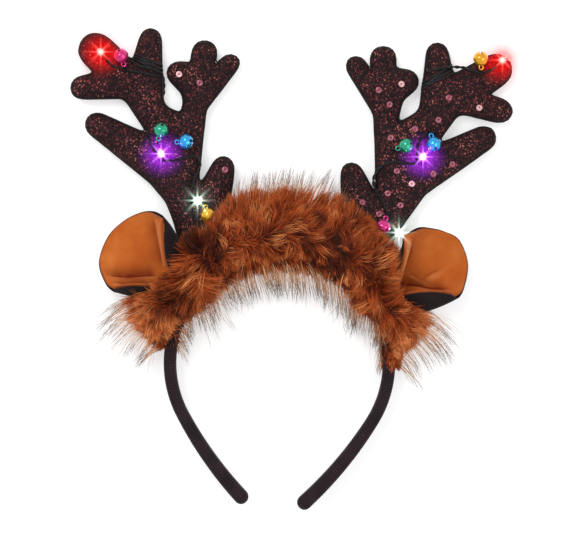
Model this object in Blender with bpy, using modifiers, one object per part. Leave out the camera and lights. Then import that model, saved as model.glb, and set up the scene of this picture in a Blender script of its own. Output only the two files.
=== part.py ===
# Reindeer antler headband: a fabric-covered band, two padded antlers with a light string and
# jingle bells each, two cupped felt ears and a fur trim over the crown. Units are metres.
# It lies on its back: +Y runs to the antler tips, +X to the right-hand antler, +Z forward.
import math
import random

import bmesh
import bpy
from mathutils import Matrix, Vector
from mathutils.bvhtree import BVHTree

# Band
band_radius = 0.0675
band_width = 0.0078
band_depth = 0.012
band_lift = 0.007
crown_half_angle = math.radians(120)
leg_bow_radius = 0.240
leg_length_left = 0.067
leg_length_right = 0.070
leg_end_width = 0.0092
band_sides = 8

# Antlers
antler_rise = 0.1546
antler_span = 0.092
antler_foot_angle = math.radians(43)
antler_foot_spread = math.radians(4.2)
antler_foot_round = 0.006
antler_thickness = 0.008
antler_edge_roll = 0.0042
antler_lean = math.radians(2.0)

# Ears
ear_reach = 0.058
ear_height = 0.050
ear_cup = 0.018
ear_root_angle = math.radians(57)
felt = 0.0012

# Fur
fur_outer = 0.040
fur_inner = 0.010
fur_front = 0.027
fur_sides = 12
lock_length = 0.010
lock_taper = 0.3

# Lights and bells
wire = 0.0012
bulb = 0.0046
bulb_length = 0.0056
bell = 0.0092
bell_wall = 0.0006
bell_slot = 0.0013
loop_ring = 0.0034
loop_wire = 0.0009

# Clearances
gap = 0.0003
wire_gap = 0.0006
arc_step = math.radians(38)

# Worked out from the sizes above
band_mid = band_lift + band_depth / 2
tine_round = math.sqrt(antler_span * antler_rise) * 0.05534
top_above_head = band_radius * math.cos(antler_foot_angle) + antler_rise
leg_turn = (crown_half_angle * leg_bow_radius + leg_length_right) / leg_bow_radius
leg_drop = leg_bow_radius * (math.cos(leg_turn) - math.cos(crown_half_angle))
bottom_below_head = -(band_radius * math.cos(crown_half_angle) + leg_drop) + leg_end_width / 2
head_y = (bottom_below_head - top_above_head) / 2

# The outline of an antler runs round these pins, from the root outwards and back. Across and up
# are shares of the antler's span and rise from its foot on the band. Round is a share of the
# tines' rounding: a tip turns round a pin from inside, and a hollow, below 0, from outside.
antler_pins_left = (
    # name, across, up, round
    ("under the beam", 0.704, 0.151, -6.82),
    ("low tine", 0.791, 0.608, 1.00),
    ("low valley", 0.463, 0.587, -0.21),
    ("outer bend", 0.636, 0.686, -0.83),
    ("outer tine", 0.899, 0.754, 1.00),
    ("outer valley", 0.823, 0.814, -0.18),
    ("far lobe", 0.818, 0.909, 1.52),
    ("top valley", 0.565, 0.875, -0.18),
    ("top tine", 0.446, 0.961, 0.91),
    ("gap, outer side", 0.280, 0.722, -1.06),
    ("gap, end", 0.227, 0.673, -0.23),
    ("gap, inner side", 0.280, 0.722, -1.06),
    ("clover, outer", 0.253, 0.827, 0.98),
    ("clover, outer notch", 0.170, 0.872, -0.18),
    ("clover, top", 0.079, 0.911, 1.14),
    ("clover, inner notch", 0.012, 0.867, -0.18),
    ("clover, inner", -0.101, 0.876, 0.76),
    ("beam corner", 0.046, 0.680, -0.23),
    ("brow valley", 0.072, 0.404, -0.33),
    ("brow tine", -0.076, 0.455, 0.94),
)
antler_pins_right = (
    # name, across, up, round
    ("under the beam", 0.759, 0.118, -7.58),
    ("low tine", 0.824, 0.609, 1.03),
    ("low valley", 0.529, 0.591, -0.24),
    ("outer bend", 0.668, 0.680, -0.67),
    ("outer tine", 0.927, 0.722, 1.03),
    ("outer valley", 0.859, 0.787, -0.18),
    ("far lobe", 0.886, 0.887, 1.44),
    ("top valley", 0.602, 0.867, -0.18),
    ("top tine", 0.485, 0.948, 0.91),
    ("gap, outer side", 0.320, 0.732, -0.97),
    ("gap, end", 0.246, 0.668, -0.23),
    ("gap, inner side", 0.320, 0.732, -0.97),
    ("clover, outer", 0.288, 0.827, 1.02),
    ("clover, outer notch", 0.207, 0.881, -0.18),
    ("clover, top", 0.122, 0.914, 1.17),
    ("clover, inner notch", 0.039, 0.873, -0.18),
    ("clover, inner", -0.062, 0.882, 0.85),
    ("beam corner", 0.065, 0.686, -0.23),
    ("brow valley", 0.093, 0.393, -0.27),
    ("brow tine", -0.065, 0.452, 0.91),
)

# The padding swells from the seam: inset is a share of the edge roll, height of half the thickness.
antler_swell = (
    # inset, height
    (0.00, 0.00),
    (0.10, 0.50),
    (0.42, 0.84),
    (1.00, 1.00),
)

# Each ear is a sheet of folds that fan out from its root on the band. A fold is a curve from the
# root to the ear's edge, pulled to a control point: out, up and forward are shares of the ear's
# reach, height and cup.
ear_folds_left = (
    # name, edge out, edge up, edge forward, pull out, pull up, pull forward
    ("inner rim", 0.293, 0.98, 0.70, 0.310, 0.26, 1.70),
    ("shoulder", 0.336, 1.03, 0.50, 0.017, 0.82, 1.00),
    ("inner back", 0.440, 1.07, 0.17, 0.130, 0.62, 0.11),
    ("back", 0.569, 1.05, 0.00, 0.240, 0.52, -0.33),
    ("outer back", 0.741, 0.94, -0.06, 0.328, 0.46, -0.44),
    ("outer edge", 0.897, 0.74, 0.00, 0.397, 0.38, -0.44),
    ("tip", 0.976, 0.43, 0.11, 0.397, 0.26, -0.39),
    ("lower tip", 0.897, 0.18, 0.28, 0.362, 0.12, -0.17),
    ("underside", 0.803, 0.09, 0.44, 0.362, -0.04, 0.33),
    ("lower rim", 0.793, 0.11, 0.61, 0.397, 0.24, 1.44),
)
ear_folds_right = (
    # name, edge out, edge up, edge forward, pull out, pull up, pull forward
    ("inner rim", 0.310, 0.86, 0.67, 0.310, 0.26, 1.70),
    ("shoulder", 0.350, 0.92, 0.50, 0.150, 0.60, 0.90),
    ("inner back", 0.466, 0.99, 0.17, 0.155, 0.58, 0.11),
    ("back", 0.586, 0.99, 0.00, 0.259, 0.50, -0.33),
    ("outer back", 0.724, 0.96, -0.06, 0.362, 0.44, -0.44),
    ("outer edge", 0.871, 0.87, 0.00, 0.397, 0.40, -0.44),
    ("tip", 0.976, 0.54, 0.06, 0.397, 0.28, -0.39),
    ("lower tip", 0.955, 0.26, 0.28, 0.397, 0.14, -0.17),
    ("underside", 0.872, 0.16, 0.44, 0.397, -0.18, 0.22),
    ("lower rim", 0.819, 0.19, 0.61, 0.397, 0.28, 1.44),
)
ear_columns = 15
ear_rows = 6
ear_root_share = 0.12

# The fur is a sleeve of sections round the band. At is the place on the band, in degrees from its
# top with the left side below 0, and lean turns the section's outward side from there. Inner,
# outer and front are shares of the fur's inner, outer and front reach.
fur_sections = (
    # at, lean, inner, outer, front
    (-84, 0, 0.58, 0.16, 0.33),
    (-79, -2, 0.60, 0.34, 0.52),
    (-73, -6, 0.62, 0.58, 0.76),
    (-67, -12, 0.64, 0.74, 0.90),
    (-61, -18, 0.66, 0.80, 0.96),
    (-55, -14, 0.68, 0.46, 0.86),
    (-49, -4, 0.72, 0.42, 0.84),
    (-42, 0, 0.76, 0.52, 0.88),
    (-35, 2, 0.80, 0.60, 0.94),
    (-28, 6, 0.88, 0.78, 1.00),
    (-21, 4, 0.94, 0.90, 1.00),
    (-14, 2, 0.98, 0.90, 1.00),
    (-7, 0, 1.00, 0.88, 1.00),
    (0, 0, 1.00, 0.88, 1.00),
    (7, 0, 1.00, 0.89, 1.00),
    (14, -2, 0.98, 0.94, 1.00),
    (21, -4, 0.94, 0.98, 1.00),
    (28, -6, 0.88, 0.96, 1.00),
    (35, -2, 0.80, 0.86, 0.96),
    (42, 0, 0.76, 0.76, 0.90),
    (49, 4, 0.72, 0.56, 0.86),
    (55, 14, 0.68, 0.40, 0.84),
    (61, 20, 0.66, 0.68, 0.92),
    (67, 16, 0.64, 0.62, 0.90),
    (73, 8, 0.62, 0.50, 0.78),
    (79, 4, 0.60, 0.28, 0.56),
    (85, 0, 0.58, 0.18, 0.40),
    (89, 0, 0.58, 0.16, 0.33),
)
fur_round = 1.7

# Places on an antler are shares of its span and rise from its foot. Turn is the way the bell's
# loop points, in degrees from the antler's rise towards its outer side.
bells_left = (
    # name, across, up, turn
    ("bell_pink", 0.636, 0.880, 200),
    ("bell_green", 0.348, 0.589, 165),
    ("bell_blue", 0.179, 0.547, 95),
    ("bell_yellow", 0.011, 0.256, 20),
)
bells_right = (
    # name, across, up, turn
    ("bell_pink", 0.158, 0.237, 15),
    ("bell_green", 0.293, 0.563, 250),
    ("bell_blue", 0.478, 0.573, 340),
    ("bell_yellow", 0.772, 0.922, 175),
)
bulbs_left = (
    # name, across, up, turn
    ("led_red", 0.772, 0.893, 50),
    ("led_purple", 0.342, 0.495, 20),
    ("led_white", 0.087, 0.314, 300),
)
bulbs_right = (
    # name, across, up, turn
    ("led_red", 0.918, 0.919, 50),
    ("led_purple", 0.408, 0.521, 20),
    ("led_white", 0.266, 0.217, 80),
)

# The light strings' routes. Level is 1 on the front of the antler, -1 behind it, 0 off its edge.
wire_route_left = (
    # across, up, level
    (0.043, 0.094, 1),
    (0.065, 0.185, 1),
    (0.125, 0.282, 1),
    (0.130, 0.353, 1),
    (0.114, 0.411, 1),
    (0.080, 0.444, 0.5),
    (0.080, 0.470, 0.5),
    (0.120, 0.502, 1),
    (0.217, 0.476, 1),
    (0.342, 0.462, 1),
    (0.408, 0.528, 1),
    (0.461, 0.590, 0),
    (0.418, 0.612, -1),
    (0.364, 0.690, -1),
    (0.342, 0.767, -1),
    (0.363, 0.822, 0),
    (0.424, 0.835, 1),
    (0.500, 0.842, 1),
    (0.554, 0.853, 1),
    (0.576, 0.875, 0),
    (0.511, 0.854, -1),
    (0.424, 0.825, -1),
    (0.364, 0.799, 0),
    (0.429, 0.811, 1),
    (0.533, 0.822, 1),
    (0.630, 0.831, 1),
    (0.707, 0.842, 1),
    (0.735, 0.866, 1),
)
wire_route_right = (
    # across, up, level
    (0.043, 0.094, 1),
    (0.080, 0.170, 1),
    (0.190, 0.215, 1),
    (0.205, 0.288, 1),
    (0.136, 0.353, 1),
    (0.093, 0.389, 0.5),
    (0.080, 0.418, 0.3),
    (0.092, 0.457, 0.5),
    (0.136, 0.488, 1),
    (0.217, 0.505, 1),
    (0.315, 0.495, 1),
    (0.390, 0.485, 1),
    (0.359, 0.547, 1),
    (0.380, 0.599, 1),
    (0.446, 0.630, 1),
    (0.530, 0.632, 0),
    (0.489, 0.657, -1),
    (0.435, 0.709, -1),
    (0.402, 0.748, -1),
    (0.383, 0.783, 0),
    (0.413, 0.822, 1),
    (0.500, 0.832, 1),
    (0.576, 0.849, 1),
    (0.615, 0.873, 0),
    (0.560, 0.860, -1),
    (0.478, 0.845, -1),
    (0.404, 0.858, 0),
    (0.457, 0.874, 1),
    (0.533, 0.884, 1),
    (0.598, 0.890, 0.3),
    (0.658, 0.890, 0),
    (0.712, 0.875, 0.5),
    (0.777, 0.860, 1),
    (0.848, 0.877, 1),
    (0.885, 0.896, 1),
)
wire_points = 56

# Colours from the object
colours = {
    "headband": ((0.028, 0.016, 0.018), 0.85, 0.0),
    "fur_trim": ((0.27, 0.085, 0.028), 0.9, 0.0),
    "antler": ((0.035, 0.014, 0.016), 0.55, 0.3),
    "ear_front": ((0.48, 0.125, 0.025), 0.9, 0.0),
    "ear_back": ((0.025, 0.013, 0.014), 0.9, 0.0),
    "light_wire": ((0.012, 0.010, 0.010), 0.5, 0.0),
    "led_red": ((1.0, 0.03, 0.02), 0.2, 0.0),
    "led_purple": ((0.35, 0.01, 0.9), 0.2, 0.0),
    "led_white": ((0.8, 1.0, 0.9), 0.2, 0.0),
    "bell_pink": ((0.68, 0.03, 0.19), 0.25, 1.0),
    "bell_green": ((0.02, 0.45, 0.25), 0.25, 1.0),
    "bell_blue": ((0.03, 0.47, 0.87), 0.25, 1.0),
    "bell_yellow": ((0.80, 0.43, 0.014), 0.25, 1.0),
}


def clear_scene():
    for thing in list(bpy.data.objects):
        bpy.data.objects.remove(thing)


def new_collection(name):
    collection = bpy.data.collections.new(name)
    bpy.context.scene.collection.children.link(collection)
    return collection


def finish_of(name):
    kind = next(kind for kind in colours if name.startswith(kind))
    colour, roughness, metallic = colours[kind]
    finish = bpy.data.materials.get(name) or bpy.data.materials.new(name)
    finish.use_nodes = True
    shader = finish.node_tree.nodes["Principled BSDF"]
    shader.inputs["Base Color"].default_value = (*colour, 1)
    shader.inputs["Roughness"].default_value = roughness
    shader.inputs["Metallic"].default_value = metallic
    return finish


def add_part(name, mesh, matrix=Matrix()):
    part = bpy.data.objects.new(name, mesh)
    parts.objects.link(part)
    part.matrix_world = matrix
    part.data.materials.clear()
    part.data.materials.append(finish_of(name))
    return part


def add_cutter(name, mesh, matrix=Matrix()):
    cutter = bpy.data.objects.new(name, mesh)
    cutters.objects.link(cutter)
    cutter.matrix_world = matrix
    cutter.hide_render = True
    cutter.display_type = "WIRE"
    return cutter


def cut(part, cutter, operation="DIFFERENCE"):
    modifier = part.modifiers.new(cutter.name, "BOOLEAN")
    modifier.operation = operation
    modifier.solver = "EXACT"
    modifier.object = cutter


def evaluated_mesh(part):
    bpy.context.view_layer.update()
    return bpy.data.meshes.new_from_object(part.evaluated_get(bpy.context.evaluated_depsgraph_get()))


def to_mesh(bm, name):
    bmesh.ops.recalc_face_normals(bm, faces=bm.faces)
    mesh = bpy.data.meshes.new(name)
    bm.to_mesh(mesh)
    bm.free()
    return mesh


def loft(rings, name):
    """A closed body through rings of points, capped at both ends."""
    bm = bmesh.new()
    loops = [[bm.verts.new(point) for point in ring] for ring in rings]
    for near, far in zip(loops, loops[1:]):
        for side in range(len(near)):
            following = (side + 1) % len(near)
            bm.faces.new((near[side], near[following], far[following], far[side]))
    bm.faces.new(loops[0])
    bm.faces.new(loops[-1])
    return to_mesh(bm, name)


def smooth_between(rows, share):
    """The rows' values at a share of the way along them, on a Catmull-Rom curve."""
    place = share * (len(rows) - 1)
    first = min(int(place), len(rows) - 2)
    along = place - first
    before, start = rows[max(first - 1, 0)], rows[first]
    end, after = rows[first + 1], rows[min(first + 2, len(rows) - 1)]
    return [
        0.5 * (2 * q + along * (r - p + along * (2 * p - 5 * q + 4 * r - s + along * (3 * (q - r) + s - p))))
        for p, q, r, s in zip(before, start, end, after)
    ]


# Band


def band_place(travel):
    """Centre, outward direction and width on the band, at a way from its top."""
    side = 1 if travel >= 0 else -1
    crown = band_radius * crown_half_angle
    turn = min(abs(travel), crown) / band_radius
    x, y, width = band_radius * math.sin(turn), band_radius * math.cos(turn), band_width
    if abs(travel) > crown:
        turn = crown_half_angle + (abs(travel) - crown) / leg_bow_radius
        x += leg_bow_radius * (math.sin(turn) - math.sin(crown_half_angle))
        y += leg_bow_radius * (math.cos(turn) - math.cos(crown_half_angle))
        share = (abs(travel) - crown) / min(leg_length_left, leg_length_right)
        width += (leg_end_width - band_width) * share
    return Vector((side * x, head_y + y)), Vector((side * math.sin(turn), math.cos(turn))), width


def band_ring(travel, scale, grow):
    centre, outward, width = band_place(travel)
    ring = []
    for side in range(band_sides):
        turn = math.tau * (side + 0.5) / band_sides
        across = math.copysign(abs(math.cos(turn)) ** 0.55, math.cos(turn)) * (width / 2 * scale + grow)
        lift = math.copysign(abs(math.sin(turn)) ** 0.55, math.sin(turn)) * (band_depth / 2 * scale + grow)
        ring.append((*(centre + outward * across * 1.1), band_mid + lift * 1.1))
    return ring


def band_mesh(name, grow=0.0):
    crown = band_radius * crown_half_angle
    crown_steps = 28
    leg_steps = 6
    tip = leg_end_width / 2
    stations = [(crown * (2 * step / crown_steps - 1), 1.0) for step in range(crown_steps + 1)]
    for side, leg in ((-1, leg_length_left), (1, leg_length_right)):
        straight = leg - tip
        runs = [(crown + straight * (step + 1) / leg_steps, 1.0) for step in range(leg_steps)]
        for share in (0.5, 0.85, 0.99):
            runs.append((crown + straight + tip * 2 * share, math.sqrt(1 - share * share)))
        runs = [(side * travel, scale) for travel, scale in runs]
        stations = runs[::-1] + stations if side < 0 else stations + runs
    return loft([band_ring(travel, scale, grow) for travel, scale in stations], name)


# Antlers


def antler_foot(side):
    return Vector(
        (side * band_radius * math.sin(antler_foot_angle), band_radius * math.cos(antler_foot_angle))
    )


def on_antler(side, across, up):
    """A place on an antler, seen from the head's centre, from shares of its span and rise."""
    return antler_foot(side) + Vector((side * across * antler_span, up * antler_rise))


def antler_outline(side, pins):
    """Pins, turns and headings of a belt round the pins, in order, against the clock."""
    belt = []
    foot_reach = band_radius + antler_foot_round - band_width / 4
    outer = antler_foot_angle + antler_foot_spread
    inner = antler_foot_angle - antler_foot_spread
    belt.append((foot_reach * math.sin(outer), foot_reach * math.cos(outer), antler_foot_round))
    foot = antler_foot(1)
    for _, across, up, turn in pins:
        belt.append((foot.x + across * antler_span, foot.y + up * antler_rise, turn * tine_round))
    belt.append((foot_reach * math.sin(inner), foot_reach * math.cos(inner), antler_foot_round))
    headings = []
    for here, there in zip(belt, belt[1:] + belt[:1]):
        run = Vector((there[0] - here[0], there[1] - here[1]))
        headings.append(math.atan2(run.y, run.x) - math.asin((there[2] - here[2]) / run.length))
    outline = []
    for index, (x, y, turn) in enumerate(belt):
        start, end = headings[index - 1], headings[index]
        sweep = (end - start + math.pi) % math.tau - math.pi
        if sweep * turn < 0 and abs(sweep) > math.pi / 2:
            sweep += math.copysign(math.tau, turn)
        steps = max(1, math.ceil(abs(sweep) / arc_step))
        for step in range(steps + 1):
            outline.append((side * x, y, turn, start + sweep * step / steps))
    return outline


def antler_solid(side, pins, levels, name):
    """The antler's body through levels of inset and height."""
    outline = antler_outline(side, pins)
    rings = []
    for inset, height in levels:
        ring = []
        for x, y, turn, heading in outline:
            ring.append(
                (
                    x + side * (turn - inset) * math.sin(heading),
                    y - (turn - inset) * math.cos(heading),
                    height,
                )
            )
        rings.append(ring)
    return loft(rings, name)


def antler_levels():
    half = antler_thickness / 2
    front = [(inset * antler_edge_roll, height * half) for inset, height in antler_swell]
    back = [(inset, -height) for inset, height in front[:0:-1]]
    return back + front


def antler_slot_levels():
    half = antler_thickness / 2
    return [(-gap, -half - gap), (-gap, half + wire_gap + wire + gap)]


# Bells and bulbs


def bell_mesh():
    """A hollow bell round its own centre, with its loop on +Y and its slot on -Y."""
    bm = bmesh.new()
    bmesh.ops.create_uvsphere(bm, u_segments=10, v_segments=7, radius=bell / 2)
    shell = add_cutter("bell_shell", to_mesh(bm, "bell_shell"))
    bm = bmesh.new()
    bmesh.ops.create_uvsphere(bm, u_segments=8, v_segments=5, radius=bell / 2 - bell_wall)
    hollow = add_cutter("bell_hollow", to_mesh(bm, "bell_hollow"))
    bm = bmesh.new()
    bmesh.ops.create_cube(bm, size=1)
    bmesh.ops.scale(bm, vec=(bell * 0.8, bell / 2, bell_slot), verts=bm.verts)
    bmesh.ops.translate(bm, vec=(0, -bell * 0.45, 0), verts=bm.verts)
    slot = add_cutter("bell_slot", to_mesh(bm, "bell_slot"))
    major = (loop_ring - loop_wire) / 2
    bpy.ops.mesh.primitive_torus_add(
        major_radius=major,
        minor_radius=loop_wire / 2,
        major_segments=8,
        minor_segments=4,
        location=(0, bell / 2 + major - loop_wire * 0.45, 0),
    )
    ring = bpy.context.object
    ring.name = "bell_loop"
    for collection in list(ring.users_collection):
        collection.objects.unlink(ring)
    cutters.objects.link(ring)
    ring.hide_render = True
    ring.display_type = "WIRE"
    cut(shell, ring, "UNION")
    cut(shell, hollow)
    cut(shell, slot)
    mesh = evaluated_mesh(shell)
    for piece in (shell, hollow, slot, ring):
        bpy.data.objects.remove(piece)
    return mesh


def bulb_mesh():
    """A bulb round its own centre, with its domed end on +Y and its flat base on -Y."""
    bm = bmesh.new()
    bmesh.ops.create_uvsphere(bm, u_segments=8, v_segments=6, radius=bulb / 2)
    bmesh.ops.rotate(bm, cent=(0, 0, 0), matrix=Matrix.Rotation(-math.pi / 2, 3, "X"), verts=bm.verts)
    bmesh.ops.scale(bm, vec=(1, bulb_length / bulb, 1), verts=bm.verts)
    base = bmesh.ops.bisect_plane(
        bm,
        geom=bm.verts[:] + bm.edges[:] + bm.faces[:],
        plane_co=(0, -bulb_length * 0.36, 0),
        plane_no=(0, -1, 0),
        clear_outer=True,
    )
    rim = [edge for edge in base["geom_cut"] if isinstance(edge, bmesh.types.BMEdge)]
    bmesh.ops.holes_fill(bm, edges=rim)
    return to_mesh(bm, "bulb")


def seat_height(tree, x, y, radius):
    """The height above the antler's middle at which a ball lies on its front, a gap clear."""
    high = antler_thickness / 2 + radius + gap
    low = 0.0
    for _ in range(24):
        middle = (high + low) / 2
        if tree.find_nearest(Vector((x, y, middle)))[3] > radius + gap:
            high = middle
        else:
            low = middle
    return high


def place_on_antler(name, mesh, side, tree, row, radius):
    _, across, up, turn = row
    place = on_antler(side, across, up)
    height = seat_height(tree, place.x, place.y, radius)
    rotation = Matrix.Rotation(-side * math.radians(turn), 4, "Z")
    matrix = antler_frame @ Matrix.Translation((*place, height)) @ rotation
    return add_part(name, mesh.copy(), matrix)


def clear_of(tree, place, distance):
    """The place, moved straight off the body if it lies nearer than the distance."""
    nearest, normal, _, reach = tree.find_nearest(place)
    if (place - nearest).dot(normal) > 0 and reach >= distance:
        return place
    return nearest + normal * distance


def lie_clear(tree, places, distance):
    """Move the places until the straight runs between them clear the body by the distance."""
    for _ in range(12):
        for index in range(len(places) - 1):
            middle = (places[index] + places[index + 1]) / 2
            shift = clear_of(tree, middle, distance) - middle
            places[index] += shift
            places[index + 1] += shift
    return places


def wire_part(name, side, route, tree):
    """The light string: a smooth curve through its route, clear of the antler's cloth."""
    off = wire / 2 + wire_gap
    level_height = antler_thickness / 2 + off
    curve = bpy.data.curves.new(name, "CURVE")
    curve.dimensions = "3D"
    curve.bevel_depth = wire / 2
    curve.bevel_resolution = 2
    curve.use_fill_caps = True
    line = curve.splines.new("POLY")
    line.points.add(wire_points - 1)
    places = []
    for index in range(wire_points):
        across, up, level = smooth_between(route, index / (wire_points - 1))
        place = Vector((*on_antler(side, across, up), level * level_height))
        places.append(clear_of(tree, place, off))
    for point, place in zip(line.points, lie_clear(tree, places, wire / 2 + gap)):
        point.co = (*place, 1)
    return add_part(name, curve, antler_frame)


# Ears


def ear_root(side):
    return Vector((side * math.sin(ear_root_angle), math.cos(ear_root_angle), 0)) * band_radius


def ear_sheet(side, folds):
    """A grid of points on the ear: a row for each step from the root, a column across the folds."""
    root = ear_root(side)
    reaches = (ear_reach, ear_height, ear_cup) * 2
    grid = []
    for row in range(ear_rows):
        along = ear_root_share + (1 - ear_root_share) * row / (ear_rows - 1)
        line = []
        for column in range(ear_columns):
            shares = smooth_between([fold[1:] for fold in folds], column / (ear_columns - 1))
            lengths = [share * reach for share, reach in zip(shares, reaches)]
            edge = Vector((side * lengths[0], lengths[1], lengths[2]))
            pull = Vector((side * lengths[3], lengths[4], lengths[5]))
            line.append(root + 2 * along * (1 - along) * pull + along * along * edge)
        grid.append(line)
    return grid


def ear_mesh(side, folds, name):
    bm = bmesh.new()
    rows = [[bm.verts.new(point) for point in line] for line in ear_sheet(side, folds)]
    for near, far in zip(rows, rows[1:]):
        for column in range(len(near) - 1):
            corners = (near[column], near[column + 1], far[column + 1], far[column])
            bm.faces.new(corners if side > 0 else corners[::-1])
    mesh = bpy.data.meshes.new(name)
    bm.to_mesh(mesh)
    bm.free()
    return mesh


def ear_part(name, side, folds, facing):
    """One felt of an ear: a gap off the sheet between the two, on the facing side."""
    part = add_part(name, ear_mesh(side, folds, name), head_frame)
    off = part.modifiers.new("gap", "DISPLACE")
    off.mid_level = 0
    off.strength = facing * gap
    wall = part.modifiers.new("felt", "SOLIDIFY")
    wall.thickness = felt
    wall.offset = facing
    wall.use_even_offset = False
    cut(part, band_channel)
    return part


def hull_cutter(name, bodies):
    """A convex body a gap clear all round the given bodies."""
    bm = bmesh.new()
    for body in bodies:
        mesh = evaluated_mesh(body)
        for vertex in mesh.vertices:
            place = body.matrix_world @ vertex.co
            for corner in range(8):
                step = [gap * (1 if corner >> axis & 1 else -1) for axis in range(3)]
                bm.verts.new(place + Vector(step))
        bpy.data.meshes.remove(mesh)
    bmesh.ops.convex_hull(bm, input=bm.verts)
    inside = [vertex for vertex in bm.verts if not vertex.link_faces]
    bmesh.ops.delete(bm, geom=inside, context="VERTS")
    return add_cutter(name, to_mesh(bm, name))


# Fur


def fur_ring(at, lean, inner, outer, front):
    centre, _, _ = band_place(math.radians(at) * band_radius)
    turn = math.radians(at + lean)
    outward = Vector((math.sin(turn), math.cos(turn)))
    inner, outer, front = inner * fur_inner, outer * fur_outer, front * fur_front
    back = min(band_mid, front)
    ring = []
    for side in range(fur_sides):
        angle = math.tau * side / fur_sides
        across = (outer - inner) / 2 + (outer + inner) / 2 * math.cos(angle)
        lift = math.sin(angle)
        height = front * lift if lift > 0 else max(-back, back * fur_round * lift)
        ring.append((*(centre + outward * across), band_mid + height))
    return ring


def far_from(trees, place, distance):
    for tree in trees:
        nearest, normal, _, reach = tree.find_nearest(place)
        if reach < distance or (place - nearest).dot(normal) < 0:
            return False
    return True


def lock_sides(face, middle, pull):
    """Places on the edges and down the middles of a lock's sides."""
    rim = [vertex.co for vertex in face.verts]
    rim += [(vertex.co + after.co) / 2 for vertex, after in zip(face.verts, face.verts[1:] + face.verts[:1])]
    shares = (0.2, 0.4, 0.6, 0.8, 1.0)
    return [place.lerp(middle + (place - middle) * lock_taper + pull, share) for place in rim for share in shares]


def grow_locks(mesh, trees):
    """Pull every other face of the fur out into a lock that leans with the pile."""
    shuffle = random.Random(7)
    bm = bmesh.new()
    bm.from_mesh(mesh)
    crown = Vector((0, head_y, band_mid))
    chosen = []
    taken = set()
    for face in bm.faces:
        middle = face.calc_center_median()
        if len(face.verts) != 4 or face.normal.z < -0.3 or face.calc_area() < (lock_length / 3) ** 2:
            continue
        if any(edge in taken for edge in face.edges):
            continue
        outward = (middle - crown).normalized()
        lean = Vector((outward.x, outward.y, 0)) * 0.6 + Vector((0.15, 0, 0))
        way = (face.normal * 0.9 + lean).normalized()
        reach = lock_length * shuffle.uniform(0.6, 1.2)
        steps = [middle + way * reach * share for share in (0.35, 0.7, 1.1)]
        sides = lock_sides(face, middle, way * reach)
        roomy = all(far_from(trees, step, lock_length * 0.3) for step in steps)
        if roomy and all(far_from(trees, place, gap) for place in sides) and steps[-1].z > lock_length / 3:
            chosen.append((face, way * reach))
            taken.update(face.edges)
    for face, pull in chosen:
        tip = bmesh.ops.extrude_discrete_faces(bm, faces=[face])["faces"][0]
        middle = tip.calc_center_median()
        for vertex in tip.verts:
            vertex.co = middle + (vertex.co - middle) * lock_taper + pull
    return to_mesh(bm, "fur_trim")


clear_scene()
parts = new_collection("reindeer_antler_headband")
cutters = new_collection("cutters")
head_frame = Matrix.Translation((0, head_y, band_mid))
antler_frame = head_frame @ Matrix.Rotation(-antler_lean, 4, "X")

add_part("headband", band_mesh("headband"))
band_channel = add_cutter("band_channel", band_mesh("band_channel", gap))
fur_cutters = [band_channel]
bell_body = bell_mesh()
bulb_body = bulb_mesh()

sides = (
    ("left", -1, antler_pins_left, ear_folds_left, bells_left, bulbs_left, wire_route_left),
    ("right", 1, antler_pins_right, ear_folds_right, bells_right, bulbs_right, wire_route_right),
)
for word, side, pins, folds, bells, bulbs, route in sides:
    body = antler_solid(side, pins, antler_levels(), "antler_" + word)
    tree_bm = bmesh.new()
    tree_bm.from_mesh(body)
    tree = BVHTree.FromBMesh(tree_bm)
    tree_bm.free()
    antler = add_part("antler_" + word, body, antler_frame)
    cut(antler, band_channel)
    slot = antler_solid(side, pins, antler_slot_levels(), "antler_slot_" + word)
    fur_cutters.append(add_cutter("antler_slot_" + word, slot, antler_frame))
    wire_part("light_wire_" + word, side, route, tree)
    for row in bulbs:
        fitted = place_on_antler(f"{row[0]}_{word}", bulb_body, side, tree, row, bulb / 2)
        fur_cutters.append(hull_cutter(f"{row[0]}_room_{word}", [fitted]))
    for row in bells:
        fitted = place_on_antler(f"{row[0]}_{word}", bell_body, side, tree, row, bell / 2)
        fur_cutters.append(hull_cutter(f"{row[0]}_room_{word}", [fitted]))
    front = ear_part("ear_front_" + word, side, folds, 1)
    back = ear_part("ear_back_" + word, side, folds, -1)
    fur_cutters.append(hull_cutter("ear_room_" + word, [front, back]))

sleeve = add_cutter("fur_sleeve", loft([fur_ring(*row) for row in fur_sections], "fur_sleeve"))
trees = []
for cutter in fur_cutters:
    cut(sleeve, cutter)
    cutter_bm = bmesh.new()
    cutter_bm.from_mesh(cutter.data)
    cutter_bm.transform(cutter.matrix_world)
    trees.append(BVHTree.FromBMesh(cutter_bm))
    cutter_bm.free()
add_part("fur_trim", grow_locks(evaluated_mesh(sleeve), trees))
bpy.data.objects.remove(sleeve)
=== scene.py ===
# Reindeer antler headband: looks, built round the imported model. Units are metres.
# It lies on its back: +Y runs to the antler tips, +X to the right-hand antler, +Z is its front.
import math

import bmesh
import bpy
import numpy as np
from mathutils import Matrix, Vector
from mathutils.bvhtree import BVHTree
from mathutils.kdtree import KDTree


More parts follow.
